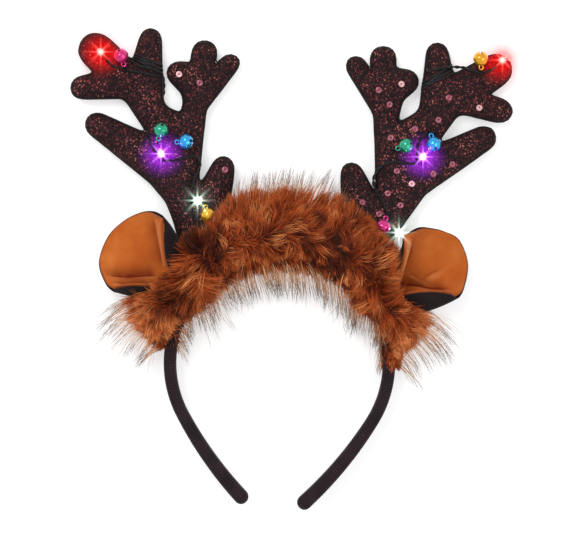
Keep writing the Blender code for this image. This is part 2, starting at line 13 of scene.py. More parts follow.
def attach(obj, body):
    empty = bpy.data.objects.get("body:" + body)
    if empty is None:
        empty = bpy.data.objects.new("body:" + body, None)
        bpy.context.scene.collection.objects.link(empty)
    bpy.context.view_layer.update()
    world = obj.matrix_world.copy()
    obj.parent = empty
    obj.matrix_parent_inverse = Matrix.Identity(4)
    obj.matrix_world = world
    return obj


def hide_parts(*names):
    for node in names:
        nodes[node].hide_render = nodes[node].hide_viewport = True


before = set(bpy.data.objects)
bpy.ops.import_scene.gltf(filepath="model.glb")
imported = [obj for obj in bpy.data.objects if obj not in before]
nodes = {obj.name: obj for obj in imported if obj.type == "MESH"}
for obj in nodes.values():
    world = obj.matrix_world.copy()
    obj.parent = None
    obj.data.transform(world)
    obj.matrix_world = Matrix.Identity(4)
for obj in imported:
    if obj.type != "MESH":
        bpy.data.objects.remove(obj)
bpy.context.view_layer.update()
mm = 0.001
print("frame loaded")

# Places shared by several pieces
head = Vector((0, -55.46, 13)) * mm  # middle of the crown's arc, at the band's mid height
antlerLean = math.radians(2)
antlerFrame = Matrix.Translation(head) @ Matrix.Rotation(-antlerLean, 4, "X")
antlerUp = antlerFrame.to_3x3() @ Vector((0, 0, 1))  # out of the antlers' front
upWay = np.array(antlerUp)
sides = (("left", -1), ("right", 1))

# Camera, straight above as the headband lies
view = {"distance": 1.5, "span": 0.336, "centre": (1 * mm, 2 * mm), "roll": 2.1, "frame": (569, 540)}

cameraData = bpy.data.cameras.new("camera")
camera = bpy.data.objects.new("camera", cameraData)
bpy.context.collection.objects.link(camera)
camera.location = (*view["centre"], view["distance"])
camera.rotation_euler = (0, 0, math.radians(view["roll"]))
width, height = view["frame"]
cameraData.lens = cameraData.sensor_width * view["distance"] / (view["span"] * width / height)
bpy.context.scene.camera = camera


# Small helpers


def linear(code):
    shares = [int(code[place:place + 2], 16) / 255 for place in (1, 3, 5)]
    return [c / 12.92 if c <= 0.04045 else ((c + 0.055) / 1.055) ** 2.4 for c in shares] + [1]


def addNode(tree, kind, settings, links=None):
    node = tree.nodes.new(kind)
    for key, value in settings.items():
        if isinstance(key, str) and hasattr(node, key):
            setattr(node, key, value)
        else:
            node.inputs[key].default_value = value
    for key, socket in (links or {}).items():
        tree.links.new(socket, node.inputs[key])
    return node


def startMaterial(name, settings):
    material = bpy.data.materials.new(name)
    material.use_nodes = True
    shader = material.node_tree.nodes["Principled BSDF"]
    for key, value in settings.items():
        shader.inputs[key].default_value = value
    return material, material.node_tree, shader


def setRamp(node, stops):
    ramp = node.color_ramp
    while len(ramp.elements) > 1:
        ramp.elements.remove(ramp.elements[0])
    ramp.elements[0].position, ramp.elements[0].color = stops[0][0], linear(stops[0][1])
    for place, code in stops[1:]:
        ramp.elements.new(place).color = linear(code)


def addPiece(name, mesh, material, replaced=()):
    piece = bpy.data.objects.new(name, mesh)
    bpy.context.collection.objects.link(piece)
    mesh.materials.clear()
    mesh.materials.append(material)
    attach(piece, "root")
    if replaced:
        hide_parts(*replaced)
    return piece


def toMesh(bm, name, smooth=True):
    bmesh.ops.recalc_face_normals(bm, faces=bm.faces)
    for face in bm.faces:
        face.smooth = smooth
    mesh = bpy.data.meshes.new(name)
    bm.to_mesh(mesh)
    bm.free()
    return mesh


def modified(shape, modifiers):
    # the mesh of a mesh or curve with modifiers applied, each a type and its settings
    helper = bpy.data.objects.new("helper", shape)
    bpy.context.collection.objects.link(helper)
    for kind, settings in modifiers:
        modifier = helper.modifiers.new(kind, kind)
        for key, value in settings.items():
            setattr(modifier, key, value)
    bpy.context.view_layer.update()
    made = bpy.data.meshes.new_from_object(helper.evaluated_get(bpy.context.evaluated_depsgraph_get()))
    bpy.data.objects.remove(helper)
    return made


def placed(solid, middle, way):
    # a copy of a piece made along +Y, stood at a place on an antler
    across = way.cross(antlerUp).normalized()
    turn = Matrix((across, way, across.cross(way))).transposed().to_4x4()
    mesh = solid.copy()
    mesh.transform(Matrix.Translation(middle) @ turn)
    return mesh


def edgesIn(parts):
    return [part for part in parts if isinstance(part, bmesh.types.BMEdge)]


def vertsIn(parts):
    return [part for part in parts if isinstance(part, bmesh.types.BMVert)]


def cutLoops(mesh, point, normal):
    # closed lines of points where a plane cuts a mesh
    bm = bmesh.new()
    bm.from_mesh(mesh)
    whole = bm.verts[:] + bm.edges[:] + bm.faces[:]
    edges = set(edgesIn(bmesh.ops.bisect_plane(bm, geom=whole, plane_co=point, plane_no=normal)["geom_cut"]))
    loops = []
    while edges:
        edge = edges.pop()
        line = [edge.verts[0], edge.verts[1]]
        while True:
            following = next((e for e in line[-1].link_edges if e in edges), None)
            if following is None:
                break
            edges.discard(following)
            line.append(following.other_vert(line[-1]))
        loops.append(np.array([v.co for v in line[:-1]]))
    bm.free()
    return loops


def rounded(loop, times):
    # a closed line of points, smoothed
    for _ in range(times):
        loop = (np.roll(loop, 1, axis=0) + 2 * loop + np.roll(loop, -1, axis=0)) / 4
    return loop


def tubes(name, lines, radius, closed=False):
    # round tubes along lines of points, in one mesh
    curve = bpy.data.curves.new(name, "CURVE")
    curve.dimensions = "3D"
    curve.bevel_depth = radius
    curve.bevel_resolution = 1
    curve.use_fill_caps = True
    for points in lines:
        line = curve.splines.new("POLY")
        line.points.add(len(points) - 1)
        line.points.foreach_set("co", np.c_[points, np.ones(len(points))].ravel())
        line.use_cyclic_u = closed
    made = modified(curve, [])
    made.name = name
    made.shade_smooth()
    return made


def mergedCopy(node):
    # a CAD node's mesh with its loose triangles joined
    bm = bmesh.new()
    bm.from_mesh(nodes[node].data)
    bmesh.ops.remove_doubles(bm, verts=bm.verts, dist=0.01 * mm)
    return bm


def setPointColours(mesh, name, colours):
    layer = mesh.color_attributes.new(name, "FLOAT_COLOR", "POINT")
    layer.data.foreach_set("color", np.asarray(colours, np.float32).ravel())


def setPointValues(mesh, name, values):
    layer = mesh.attributes.new(name, "FLOAT", "POINT")
    layer.data.foreach_set("value", np.asarray(values, np.float32))


def pointsOf(mesh):
    points = np.zeros(len(mesh.vertices) * 3)
    mesh.vertices.foreach_get("co", points)
    return points.reshape(-1, 3)


def movePoints(mesh, points):
    mesh.vertices.foreach_set("co", np.asarray(points, np.float32).ravel())
    mesh.update()


def softNoise(points, size, seed):
    # smooth values from -1 to 1 that change over about that size
    lattice = np.random.default_rng(seed).uniform(-1, 1, (32, 32, 32))
    place = np.asarray(points) / size + 100
    cell = np.floor(place).astype(int)
    part = place - cell
    part = part * part * (3 - 2 * part)
    total = np.zeros(len(place))
    for corner in range(8):
        step = np.array([corner & 1, corner >> 1 & 1, corner >> 2 & 1])
        index = (cell + step) % 32
        weight = np.prod(np.where(step, part, 1 - part), axis=1)
        total += weight * lattice[index[:, 0], index[:, 1], index[:, 2]]
    return total


def unit(vectors):
    return vectors / np.maximum(np.linalg.norm(vectors, axis=-1, keepdims=True), 1e-12)


def ease(values, low, high):
    share = np.clip((values - low) / (high - low), 0, 1)
    return share * share * (3 - 2 * share)


# The lit bulbs: their colours, how far in mm and how strongly the painted glow round each is painted on the
# cloth, and its lamp. Their nodes give the places.
ledKinds = {
    "led_red": {
        "core": (1.0, 0.68, 0.60), "glow": "#dc080a", "reach": 18, "gain": 3.0, "power": 0.006,
        "lamp": (1.0, 0.02, 0.01),
    },
    "led_purple": {
        "core": (0.9, 0.55, 1.0), "glow": "#a01ce0", "reach": 17, "gain": 2.6, "power": 0.005,
        "lamp": (0.5, 0.02, 1.0),
    },
    "led_white": {
        "core": (0.9, 1.0, 0.94), "glow": "#8fb8a0", "reach": 14, "gain": 0.45, "power": 0.003,
        "lamp": (0.7, 1.0, 0.8),
    },
}


def nodePlace(node):
    # the middle between a round node's highest and lowest points, and the way to its far end
    points = pointsOf(nodes[node].data)
    middle = Vector((points[points[:, 2].argmax()] + points[points[:, 2].argmin()]) / 2)
    reach = np.linalg.norm(points - np.array(middle), axis=1)
    return middle, (Vector(points[reach.argmax()]) - middle).normalized()


ledPlaces = {(kind, word): nodePlace(f"{kind}_{word}") for word, side in sides for kind in ledKinds}


# Antlers: glitter mesh sewn over soft padding
antlerPad = {
    "voxel": 1.7, "slim": 0.80, "regain": 0.9, "piping": 0.6,
    "pucker": 0.35, "puckerSize": 4.5, "wrinkleSize": 14, "seamFrom": (0.3, 1.6), "seamTo": (2.6, 4.4),
    # the cloth: held within this many mm of the crown's middle, its stiffnesses, how far it may swell and
    # creep
    "held": 84, "pressure": 4.0, "frames": 20, "quality": 6, "mass": 0.2, "stretch": 18, "shear": 8,
    "bend": 0.4,
    "mostSwell": 1.6, "creep": 0.2,
}


def knitMaterial(word):
    # polyester net knitted with copper and pink foil thread: near black, with fine red and copper foil whose
    # sparkle is painted into its colour as painted glints, and with a painted glow round the bulbs.
    # A stitch is 0.5 mm in reality, and is drawn at 0.7 mm so that it shows.
    material, tree, shader = startMaterial(
        "glitter knit " + word, {"Roughness": 0.5, "Specular IOR Level": 0.2}
    )
    place = addNode(tree, "ShaderNodeTexCoord", {}).outputs["Object"]
    stitch = addNode(
        tree, "ShaderNodeTexVoronoi", {"Scale": 1 / (0.7 * mm), "Randomness": 0.75}, {"Vector": place}
    )
    pick = addNode(tree, "ShaderNodeSeparateColor", {}, {"Color": stitch.outputs["Color"]})
    patch = addNode(tree, "ShaderNodeTexNoise", {"Scale": 1 / (9 * mm), "Detail": 2.0}, {"Vector": place})
    lift = addNode(tree, "ShaderNodeMapRange", {1: 0.3, 2: 0.7, 3: -0.10, 4: 0.05}, {0: patch.outputs["Fac"]})
    chance = addNode(tree, "ShaderNodeMath", {"operation": "ADD"}, {0: pick.outputs[0], 1: lift.outputs[0]})
    # the foil's own red and copper, with its brightest cells made paler still as painted glints
    foilAndPaintedGlint = addNode(tree, "ShaderNodeValToRGB", {}, {"Fac": chance.outputs[0]})
    setRamp(
        foilAndPaintedGlint,
        [
            (0, "#120a0d"), (0.45, "#1c1013"), (0.66, "#2a1418"), (0.82, "#451d20"), (0.93, "#743a38"),
            (1.0, "#ac6c66"),
        ],
    )
    ground = addNode(tree, "ShaderNodeValToRGB", {}, {"Fac": pick.outputs[1]})
    setRamp(ground, [(0, "#ffffff"), (0.7, "#d8b8c4"), (1, "#f0c8a0")])
    tint = addNode(
        tree, "ShaderNodeMix", {"data_type": "RGBA", "blend_type": "MULTIPLY", 0: 0.6},
        {6: foilAndPaintedGlint.outputs[0], 7: ground.outputs[0]},
    )
    # the cloth turns under at the seam, where its glints are lost
    seam = addNode(tree, "ShaderNodeAttribute", {"attribute_name": "seam"})
    turned = addNode(tree, "ShaderNodeMapRange", {1: 0.25, 2: 0.8}, {0: seam.outputs["Fac"]})
    dark = addNode(
        tree, "ShaderNodeMix", {"data_type": "RGBA", 7: linear("#0b0708")},
        {0: turned.outputs[0], 6: tint.outputs[2]},
    )
    tree.links.new(dark.outputs[2], shader.inputs["Base Color"])
    foil = addNode(tree, "ShaderNodeMapRange", {1: 0.72, 2: 0.95, 3: 0, 4: 0.75}, {0: chance.outputs[0]})
    tree.links.new(foil.outputs[0], shader.inputs["Metallic"])
    gloss = addNode(tree, "ShaderNodeMapRange", {1: 0.6, 2: 0.95, 3: 0.78, 4: 0.34}, {0: chance.outputs[0]})
    tree.links.new(gloss.outputs[0], shader.inputs["Roughness"])
    bump = addNode(
        tree, "ShaderNodeBump", {"Strength": 0.6, "Distance": 0.35 * mm, "invert": True},
        {"Height": stitch.outputs["Distance"]},
    )
    tree.links.new(bump.outputs[0], shader.inputs["Normal"])
    # painted glow: the cloth round each bulb gets an emission in the bulb's colour, fading with distance,
    # that stands in for the light it casts
    lit = None
    for kind, values in ledKinds.items():
        middle = ledPlaces[kind, word][0]
        away = addNode(tree, "ShaderNodeVectorMath", {"operation": "DISTANCE", 1: middle}, {0: place})
        near = addNode(
            tree, "ShaderNodeMapRange", {1: 0, 2: values["reach"] * mm, 3: 1, 4: 0},
            {0: away.outputs["Value"]},
        )
        fall = addNode(tree, "ShaderNodeMath", {"operation": "POWER", 1: 2.2}, {0: near.outputs[0]})
        gain = addNode(
            tree, "ShaderNodeMath", {"operation": "MULTIPLY", 1: values["gain"]}, {0: fall.outputs[0]}
        )
        glow = addNode(
            tree, "ShaderNodeMix", {"data_type": "RGBA", 6: (0, 0, 0, 1), 7: linear(values["glow"])},
            {0: gain.outputs[0]},
        )
        if lit:
            lit = addNode(
                tree, "ShaderNodeMix", {"data_type": "RGBA", "blend_type": "ADD", 0: 1},
                {6: lit, 7: glow.outputs[2]},
            ).outputs[2]
        else:
            lit = glow.outputs[2]
    weave = addNode(tree, "ShaderNodeMapRange", {1: 0.0, 2: 1.0, 3: 0.6, 4: 1.0}, {0: chance.outputs[0]})
    through = addNode(
        tree, "ShaderNodeMix", {"data_type": "RGBA", "blend_type": "MULTIPLY", 0: 1},
        {6: lit, 7: weave.outputs[0]},
    )
    tree.links.new(through.outputs[2], shader.inputs["Emission Color"])
    shader.inputs["Emission Strength"].default_value = 1.0
    return material


def pipingMaterial():
    # turned-in net, sewn tight: matt and nearly black, with a faint brown sheen
    material, tree, shader = startMaterial(
        "sewn edge", {"Base Color": linear("#0d0809"), "Roughness": 0.8, "Sheen Weight": 0.15}
    )
    place = addNode(tree, "ShaderNodeTexCoord", {}).outputs["Object"]
    thread = addNode(tree, "ShaderNodeTexNoise", {"Scale": 1 / (0.6 * mm), "Detail": 2.0}, {"Vector": place})
    shade = addNode(tree, "ShaderNodeValToRGB", {}, {"Fac": thread.outputs["Fac"]})
    setRamp(shade, [(0.3, "#080506"), (0.7, "#1d1013")])
    tree.links.new(shade.outputs[0], shader.inputs["Base Color"])
    bump = addNode(
        tree, "ShaderNodeBump", {"Strength": 0.5, "Distance": 0.2 * mm}, {"Height": thread.outputs["Fac"]}
    )
    tree.links.new(bump.outputs[0], shader.inputs["Normal"])
    return material


def swellCloth(mesh):
    # blows the pad up a little, as its filling does, and gives back its mesh
    pad = bpy.data.objects.new("pad", mesh)
    bpy.context.collection.objects.link(pad)
    held = pad.vertex_groups.new(name="held")
    foot = [v.index for v in mesh.vertices if (v.co - head).length < antlerPad["held"] * mm]
    held.add(foot, 1.0, "REPLACE")
    cloth = pad.modifiers.new("cloth", "CLOTH")
    settings = cloth.settings
    settings.quality = antlerPad["quality"]
    settings.mass = antlerPad["mass"]
    settings.tension_stiffness = settings.compression_stiffness = antlerPad["stretch"]
    settings.shear_stiffness = antlerPad["shear"]
    settings.bending_stiffness = antlerPad["bend"]
    settings.vertex_group_mass = "held"
    settings.use_pressure = True
    settings.uniform_pressure_force = antlerPad["pressure"]
    settings.effector_weights.gravity = 0
    cloth.point_cache.frame_start, cloth.point_cache.frame_end = 1, antlerPad["frames"]
    for step in range(1, antlerPad["frames"] + 1):
        bpy.context.scene.frame_set(step)
    swollen = bpy.data.meshes.new_from_object(pad.evaluated_get(bpy.context.evaluated_depsgraph_get()))
    before, after = pointsOf(mesh), pointsOf(swollen)
    moved = after - before
    moved = moved - (moved - (moved @ upWay)[:, None] * upWay) * (1 - antlerPad["creep"])
    reach = np.linalg.norm(moved, axis=1, keepdims=True)
    cap = antlerPad["mostSwell"] * mm
    movePoints(swollen, before + moved * np.minimum(1, cap / np.maximum(reach, 1e-9)))
    bpy.data.objects.remove(pad)
    bpy.context.scene.frame_set(1)
    return swollen


def inAntlerFrame(points):
    back = np.array(antlerFrame.inverted())
    return np.asarray(points) @ back[:3, :3].T + back[:3, 3]


def toFrame(points):
    out = np.array(antlerFrame)
    return np.asarray(points) @ out[:3, :3].T + out[:3, 3]


def antlerMesh(word):
    mesh = toMesh(mergedCopy("antler_" + word), "antler " + word)
    mesh = modified(
        mesh, [("REMESH", {"mode": "VOXEL", "voxel_size": antlerPad["voxel"] * mm, "adaptivity": 0})]
    )
    flat = inAntlerFrame(pointsOf(mesh))
    flat[:, 2] *= antlerPad["slim"]
    movePoints(mesh, toFrame(flat))
    mesh = swellCloth(mesh)
    bm = bmesh.new()
    bm.from_mesh(mesh)
    for _ in range(2):
        bmesh.ops.smooth_vert(
            bm, verts=bm.verts, factor=0.4, use_axis_x=True, use_axis_y=True, use_axis_z=True
        )
    mesh = toMesh(bm, "antler " + word)
    # the outline regains what remeshing and smoothing took from it
    points = pointsOf(mesh)
    normals = np.array([v.normal for v in mesh.vertices])
    height = np.abs(inAntlerFrame(points)[:, 2])
    sideways = normals - (normals @ upWay)[:, None] * upWay
    points += sideways * antlerPad["regain"] * mm
    # puckers where the seam draws the cloth in
    nearSeam = ease(height / mm, *antlerPad["seamFrom"]) * (1 - ease(height / mm, *antlerPad["seamTo"]))
    pucker = softNoise(points, antlerPad["puckerSize"] * mm, 3) * nearSeam * 0.8
    pucker = pucker + softNoise(points, antlerPad["wrinkleSize"] * mm, 5) * 0.5
    movePoints(mesh, points + normals * (pucker * antlerPad["pucker"] * mm)[:, None])
    return mesh


def pipingMesh(mesh, name):
    # a thin roll round the pad's outline, where its two sides meet
    loops = [loop for loop in cutLoops(mesh, antlerFrame.translation, antlerUp) if len(loop) > 40]
    return tubes(name, [rounded(loop, 3)[::2] for loop in loops], antlerPad["piping"] * mm, closed=True)


piping = pipingMaterial()
antlerTrees = {}
antlerSkins = {}
for word, side in sides:
    mesh = antlerMesh(word)
    edge = pipingMesh(mesh, "antler edge " + word)
    mesh = modified(mesh, [("SUBSURF", {"levels": 1, "render_levels": 1})])
    mesh.shade_smooth()
    height = np.abs(inAntlerFrame(pointsOf(mesh))[:, 2])
    setPointValues(mesh, "seam", 1 - ease(height, 0.2 * mm, 3.0 * mm))
    antler = addPiece("antler_pad_" + word, mesh, knitMaterial(word), ["antler_" + word])
    addPiece("antler_edge_" + word, edge, piping)
    antlerSkins[word] = mesh
    antlerTrees[word] = BVHTree.FromPolygons(
        [v.co for v in mesh.vertices], [p.vertices for p in mesh.polygons]
    )
    print("antler", word, len(mesh.polygons), "faces")


# Sequins: X and Y where each lies, in mm, and its shade: 0 for pale, a painted highlight, and 1 for rose
sequinCup = {"across": 3.8, "cup": 0.3, "ring": 0.2, "foil": 0.15, "sides": 14, "lift": 0.55, "lean": 0.12}
# pale is a painted highlight, a rose sequin's flash painted into its colour; rose is the foil's own colour
sequinShades = (("pale", "#e8b4b4"), ("rose", "#9c5060"))
sequins = {
    "left": ((-68.5, 120.5, 0), (-55.5, 115.5, 1), (-38, 62.5, 1)),
    "right": (
        (55, 115, 1), (69, 119.5, 0), (62, 106.5, 1), (63.5, 86, 1), (78.5, 92, 1), (68, 65.5, 1),
        (77.5, 58, 0), (90.5, 64.5, 1), (102, 71, 1), (117.5, 106.5, 0), (98.5, 112, 1), (92.5, 98, 1),
        (63, 51.5, 1), (71, 44.5, 1), (58, 38.5, 1), (47.5, 45.5, 1),
    ),
}


def sequinMaterial(shade, code):
    # stamped, dyed polyester foil: a thin glossy pink disc. The pale copy is a painted highlight, the flash
    # of a sequin that faces the light painted into its colour.
    material, tree, shader = startMaterial(
        "foil sequin " + shade,
        {
            "Base Color": linear(code), "Metallic": 0.55, "Roughness": 0.3, "Coat Weight": 0.5,
            "Coat Roughness": 0.12,
        },
    )
    place = addNode(tree, "ShaderNodeTexCoord", {}).outputs["Object"]
    scratch = addNode(tree, "ShaderNodeTexNoise", {"Scale": 1 / (0.9 * mm), "Detail": 2.0}, {"Vector": place})
    tone = addNode(tree, "ShaderNodeMapRange", {3: 0.75, 4: 1.1}, {0: scratch.outputs["Fac"]})
    mixed = addNode(
        tree, "ShaderNodeMix", {"data_type": "RGBA", "blend_type": "MULTIPLY", 0: 1, 6: linear(code)},
        {7: tone.outputs[0]},
    )
    tree.links.new(mixed.outputs[2], shader.inputs["Base Color"])
    return material


def sequinBmesh():
    bm = bmesh.new()
    ring = sequinCup["across"] * sequinCup["ring"] * mm
    bmesh.ops.create_circle(
        bm, cap_ends=True, segments=sequinCup["sides"], radius=sequinCup["across"] / 2 * mm
    )
    bmesh.ops.inset_individual(bm, faces=bm.faces[:], thickness=ring, depth=-sequinCup["cup"] * mm)
    inner = [face for face in bm.faces if len(face.verts) == sequinCup["sides"]]
    bmesh.ops.inset_individual(bm, faces=inner, thickness=ring, depth=0)
    hole = [face for face in bm.faces if len(face.verts) == sequinCup["sides"]]
    bmesh.ops.delete(bm, geom=hole, context="FACES")
    bmesh.ops.solidify(bm, geom=bm.faces[:], thickness=sequinCup["foil"] * mm)
    return bm


sequinFoils = [sequinMaterial(*shade) for shade in sequinShades]
for word, side in sides:
    for shade, foil in enumerate(sequinFoils):
        joined = bmesh.new()
        for x, y, kind in sequins[word]:
            if kind != shade:
                continue
            hit, normal, _, _ = antlerTrees[word].ray_cast(Vector((x * mm, y * mm, 0.06)), Vector((0, 0, -1)))
            if hit is None:
                print("sequin off the antler", x, y)
                continue
            single = sequinBmesh()
            lean = Vector((math.sin(x * 7.3), math.cos(y * 5.1), 0)) * sequinCup["lean"]
            turn = (normal + lean).to_track_quat("Z", "Y").to_matrix().to_4x4()
            seat = Matrix.Translation(hit + normal * sequinCup["lift"] * mm)
            bmesh.ops.transform(single, matrix=seat @ turn, verts=single.verts)
            mesh = toMesh(single, "sequin")
            joined.from_mesh(mesh)
            bpy.data.meshes.remove(mesh)
        if len(joined.verts):
            addPiece(
                f"sequins_{sequinShades[shade][0]}_{word}", toMesh(joined, "sequins"), foil
            )
        else:
            joined.free()
print("sequins sewn on")

# Bells
bellShape = {
    "across": 9.2, "wall": 0.5, "slot": 1.1, "hole": 2.0, "holeTurn": 46, "ridge": 0.28,
    "loop": 3.4, "loopWire": 0.85, "pea": 1.3, "peaDrop": 1.2,
}
bellShades = {
    "bell_pink": "#dc2a86", "bell_green": "#1cae86", "bell_blue": "#22aaf0", "bell_yellow": "#f2b818"
}


def slotCutter(radius):
    # the slot over the bell's foot
    bm = bmesh.new()
    bmesh.ops.create_cube(bm, size=1)
    bmesh.ops.scale(bm, vec=(bellShape["slot"] * mm, radius, radius * 1.5), verts=bm.verts)
    bmesh.ops.translate(bm, vec=(0, -radius * 0.98, 0), verts=bm.verts)
    return toMesh(bm, "slot", False)


def holeCutter(radius, end):
    # a round hole at one end of the slot
    hole = bellShape["hole"] / 2 * mm
    bm = bmesh.new()
    bmesh.ops.create_cone(bm, cap_ends=True, segments=14, radius1=hole, radius2=hole, depth=radius)
    bmesh.ops.translate(bm, vec=(0, 0, radius), verts=bm.verts)
    bmesh.ops.rotate(
        bm, cent=(0, 0, 0), matrix=Matrix.Rotation(math.radians(end * bellShape["holeTurn"] + 90), 3, "X"),
        verts=bm.verts,
    )
    return toMesh(bm, "hole", False)


def cutBy(mesh, cutters):
    helpers = []
    for cutter in cutters:
        helper = bpy.data.objects.new("cutter", cutter)
        bpy.context.collection.objects.link(helper)
        helpers.append(helper)
    made = modified(
        mesh,
        [("BOOLEAN", {"operation": "DIFFERENCE", "solver": "EXACT", "object": helper}) for helper in helpers],
    )
    for helper in helpers:
        bpy.data.objects.remove(helper)
    return made


def bellBody():
    radius = bellShape["across"] / 2 * mm
    bm = bmesh.new()
    bmesh.ops.create_uvsphere(bm, u_segments=28, v_segments=18, radius=radius)
    belt = [v for v in bm.verts if abs(v.co.z) < 0.1 * mm]
    bmesh.ops.scale(bm, vec=[1 + bellShape["ridge"] * mm / radius] * 2 + [1], verts=belt)
    bmesh.ops.rotate(bm, cent=(0, 0, 0), matrix=Matrix.Rotation(math.pi / 2, 3, "X"), verts=bm.verts)
    hollow = bmesh.new()
    bmesh.ops.create_uvsphere(hollow, u_segments=20, v_segments=12, radius=radius - bellShape["wall"] * mm)
    shell = cutBy(
        toMesh(bm, "bell"),
        [toMesh(hollow, "hollow"), slotCutter(radius), holeCutter(radius, -1), holeCutter(radius, 1)],
    )
    # the loop, a bent wire
    bm = bmesh.new()
    wireRound = bellShape["loopWire"] / 2 * mm
    loopRound = bellShape["loop"] / 2 * mm - wireRound
    ring = bmesh.ops.create_circle(bm, segments=8, radius=wireRound)["verts"]
    bmesh.ops.rotate(bm, cent=(0, 0, 0), matrix=Matrix.Rotation(math.pi / 2, 3, "X"), verts=ring)
    bmesh.ops.translate(bm, vec=(loopRound, 0, 0), verts=ring)
    bmesh.ops.spin(
        bm, geom=bm.verts[:] + bm.edges[:], cent=(0, 0, 0), axis=(0, 0, 1), angle=math.tau, steps=18,
        use_merge=True,
    )
    bmesh.ops.translate(bm, vec=(0, radius + loopRound - wireRound, 0), verts=bm.verts)
    loop = toMesh(bm, "loop")
    joined = bmesh.new()
    joined.from_mesh(shell)
    joined.from_mesh(loop)
    # the pea that rings in it
    seat = Matrix.Translation((0, -bellShape["peaDrop"] * mm, 0))
    bmesh.ops.create_icosphere(joined, subdivisions=2, radius=bellShape["pea"] * mm, matrix=seat)
    for face in joined.faces:
        face.smooth = True
    mesh = bpy.data.meshes.new("bell")
    joined.to_mesh(mesh)
    joined.free()
    return mesh


def bellMaterial(name, code):
    # stamped steel under tinted lacquer: a deep clear colour with a sharp highlight and a soft metal glow
    material, tree, shader = startMaterial(
        name.replace("_", " ") + " lacquer",
        {"Metallic": 0.7, "Roughness": 0.3, "Coat Weight": 0.8, "Coat Roughness": 0.06},
    )
    place = addNode(tree, "ShaderNodeTexCoord", {}).outputs["Object"]
    wear = addNode(tree, "ShaderNodeTexNoise", {"Scale": 1 / (1.8 * mm), "Detail": 3.0}, {"Vector": place})
    tone = addNode(tree, "ShaderNodeMapRange", {3: 0.78, 4: 1.12}, {0: wear.outputs["Fac"]})
    mixed = addNode(
        tree, "ShaderNodeMix", {"data_type": "RGBA", "blend_type": "MULTIPLY", 0: 1, 6: linear(code)},
        {7: tone.outputs[0]},
    )
    tree.links.new(mixed.outputs[2], shader.inputs["Base Color"])
    gloss = addNode(tree, "ShaderNodeMapRange", {3: 0.12, 4: 0.24}, {0: wear.outputs["Fac"]})
    tree.links.new(gloss.outputs[0], shader.inputs["Roughness"])
    bump = addNode(
        tree, "ShaderNodeBump", {"Strength": 0.1, "Distance": 0.1 * mm}, {"Height": wear.outputs["Fac"]}
    )
    tree.links.new(bump.outputs[0], shader.inputs["Normal"])
    return material


bellSolid = bellBody()
for kind, code in bellShades.items():
    lacquer = bellMaterial(kind, code)
    for word, side in sides:
        node = f"{kind}_{word}"
        addPiece("bell_shell_" + node[5:], placed(bellSolid, *nodePlace(node)), lacquer, [node])
print("bells hung")

# Bulbs
bulbShape = {
    "across": 4.6, "long": 5.6, "flange": 0.35, "spot": 70.0, "spotAcross": 0.55, "frontSpot": 2.3,
    "endSpot": 2.8,
    "lampUp": 5, "lampSoft": 2,
}


def bulbBody():
    # a domed bulb round its own middle, dome on +Y, base on -Y
    radius, length = bulbShape["across"] / 2 * mm, bulbShape["long"] * mm
    bm = bmesh.new()
    bmesh.ops.create_uvsphere(bm, u_segments=48, v_segments=36, radius=radius)
    bmesh.ops.rotate(bm, cent=(0, 0, 0), matrix=Matrix.Rotation(-math.pi / 2, 3, "X"), verts=bm.verts)
    bmesh.ops.scale(bm, vec=(1, length / radius / 2, 1), verts=bm.verts)
    cut = bmesh.ops.bisect_plane(
        bm, geom=bm.verts[:] + bm.edges[:] + bm.faces[:], plane_co=(0, -length * 0.30, 0),
        plane_no=(0, -1, 0), clear_outer=True,
    )
    rim = edgesIn(cut["geom_cut"])
    for grow, step in ((1 + bulbShape["flange"] * mm / radius, 0), (1, -0.06), (0.55, 0)):
        out = bmesh.ops.extrude_edge_only(bm, edges=rim)["geom"]
        ring, rim = vertsIn(out), edgesIn(out)
        bmesh.ops.scale(bm, vec=(grow, 1, grow), verts=ring)
        bmesh.ops.translate(bm, vec=(0, step * length, 0), verts=ring)
    bmesh.ops.holes_fill(bm, edges=rim)
    return toMesh(bm, "bulb")


def bulbMaterial(kind, values):
    # moulded epoxy over a lit chip: a glow in the lamp's own colour with a white-hot spot where the chip
    # shines through
    material, tree, shader = startMaterial(
        kind.replace("led_", "lit ") + " epoxy",
        {"Base Color": (*values["core"], 1), "Roughness": 0.12, "IOR": 1.5},
    )
    place = addNode(tree, "ShaderNodeTexCoord", {}).outputs["Object"]
    haze = addNode(tree, "ShaderNodeTexNoise", {"Scale": 1 / (1.2 * mm)}, {"Vector": place})
    tone = addNode(tree, "ShaderNodeMapRange", {3: 0.8, 4: 1.1}, {0: haze.outputs["Fac"]})
    mixed = addNode(
        tree, "ShaderNodeMix", {"data_type": "RGBA", "blend_type": "MULTIPLY", 0: 1, 6: (*values["lamp"], 1)},
        {7: tone.outputs[0]},
    )
    hot = addNode(tree, "ShaderNodeAttribute", {"attribute_name": "hot"})
    whitened = addNode(
        tree, "ShaderNodeMix", {"data_type": "RGBA", 7: (*values["core"], 1)},
        {0: hot.outputs["Fac"], 6: mixed.outputs[2]},
    )
    tree.links.new(whitened.outputs[2], shader.inputs["Emission Color"])
    power = addNode(
        tree, "ShaderNodeMapRange", {1: 0, 2: 1, 3: 2.2, 4: bulbShape["spot"]}, {0: hot.outputs["Fac"]}
    )
    tree.links.new(power.outputs[0], shader.inputs["Emission Strength"])
    return material


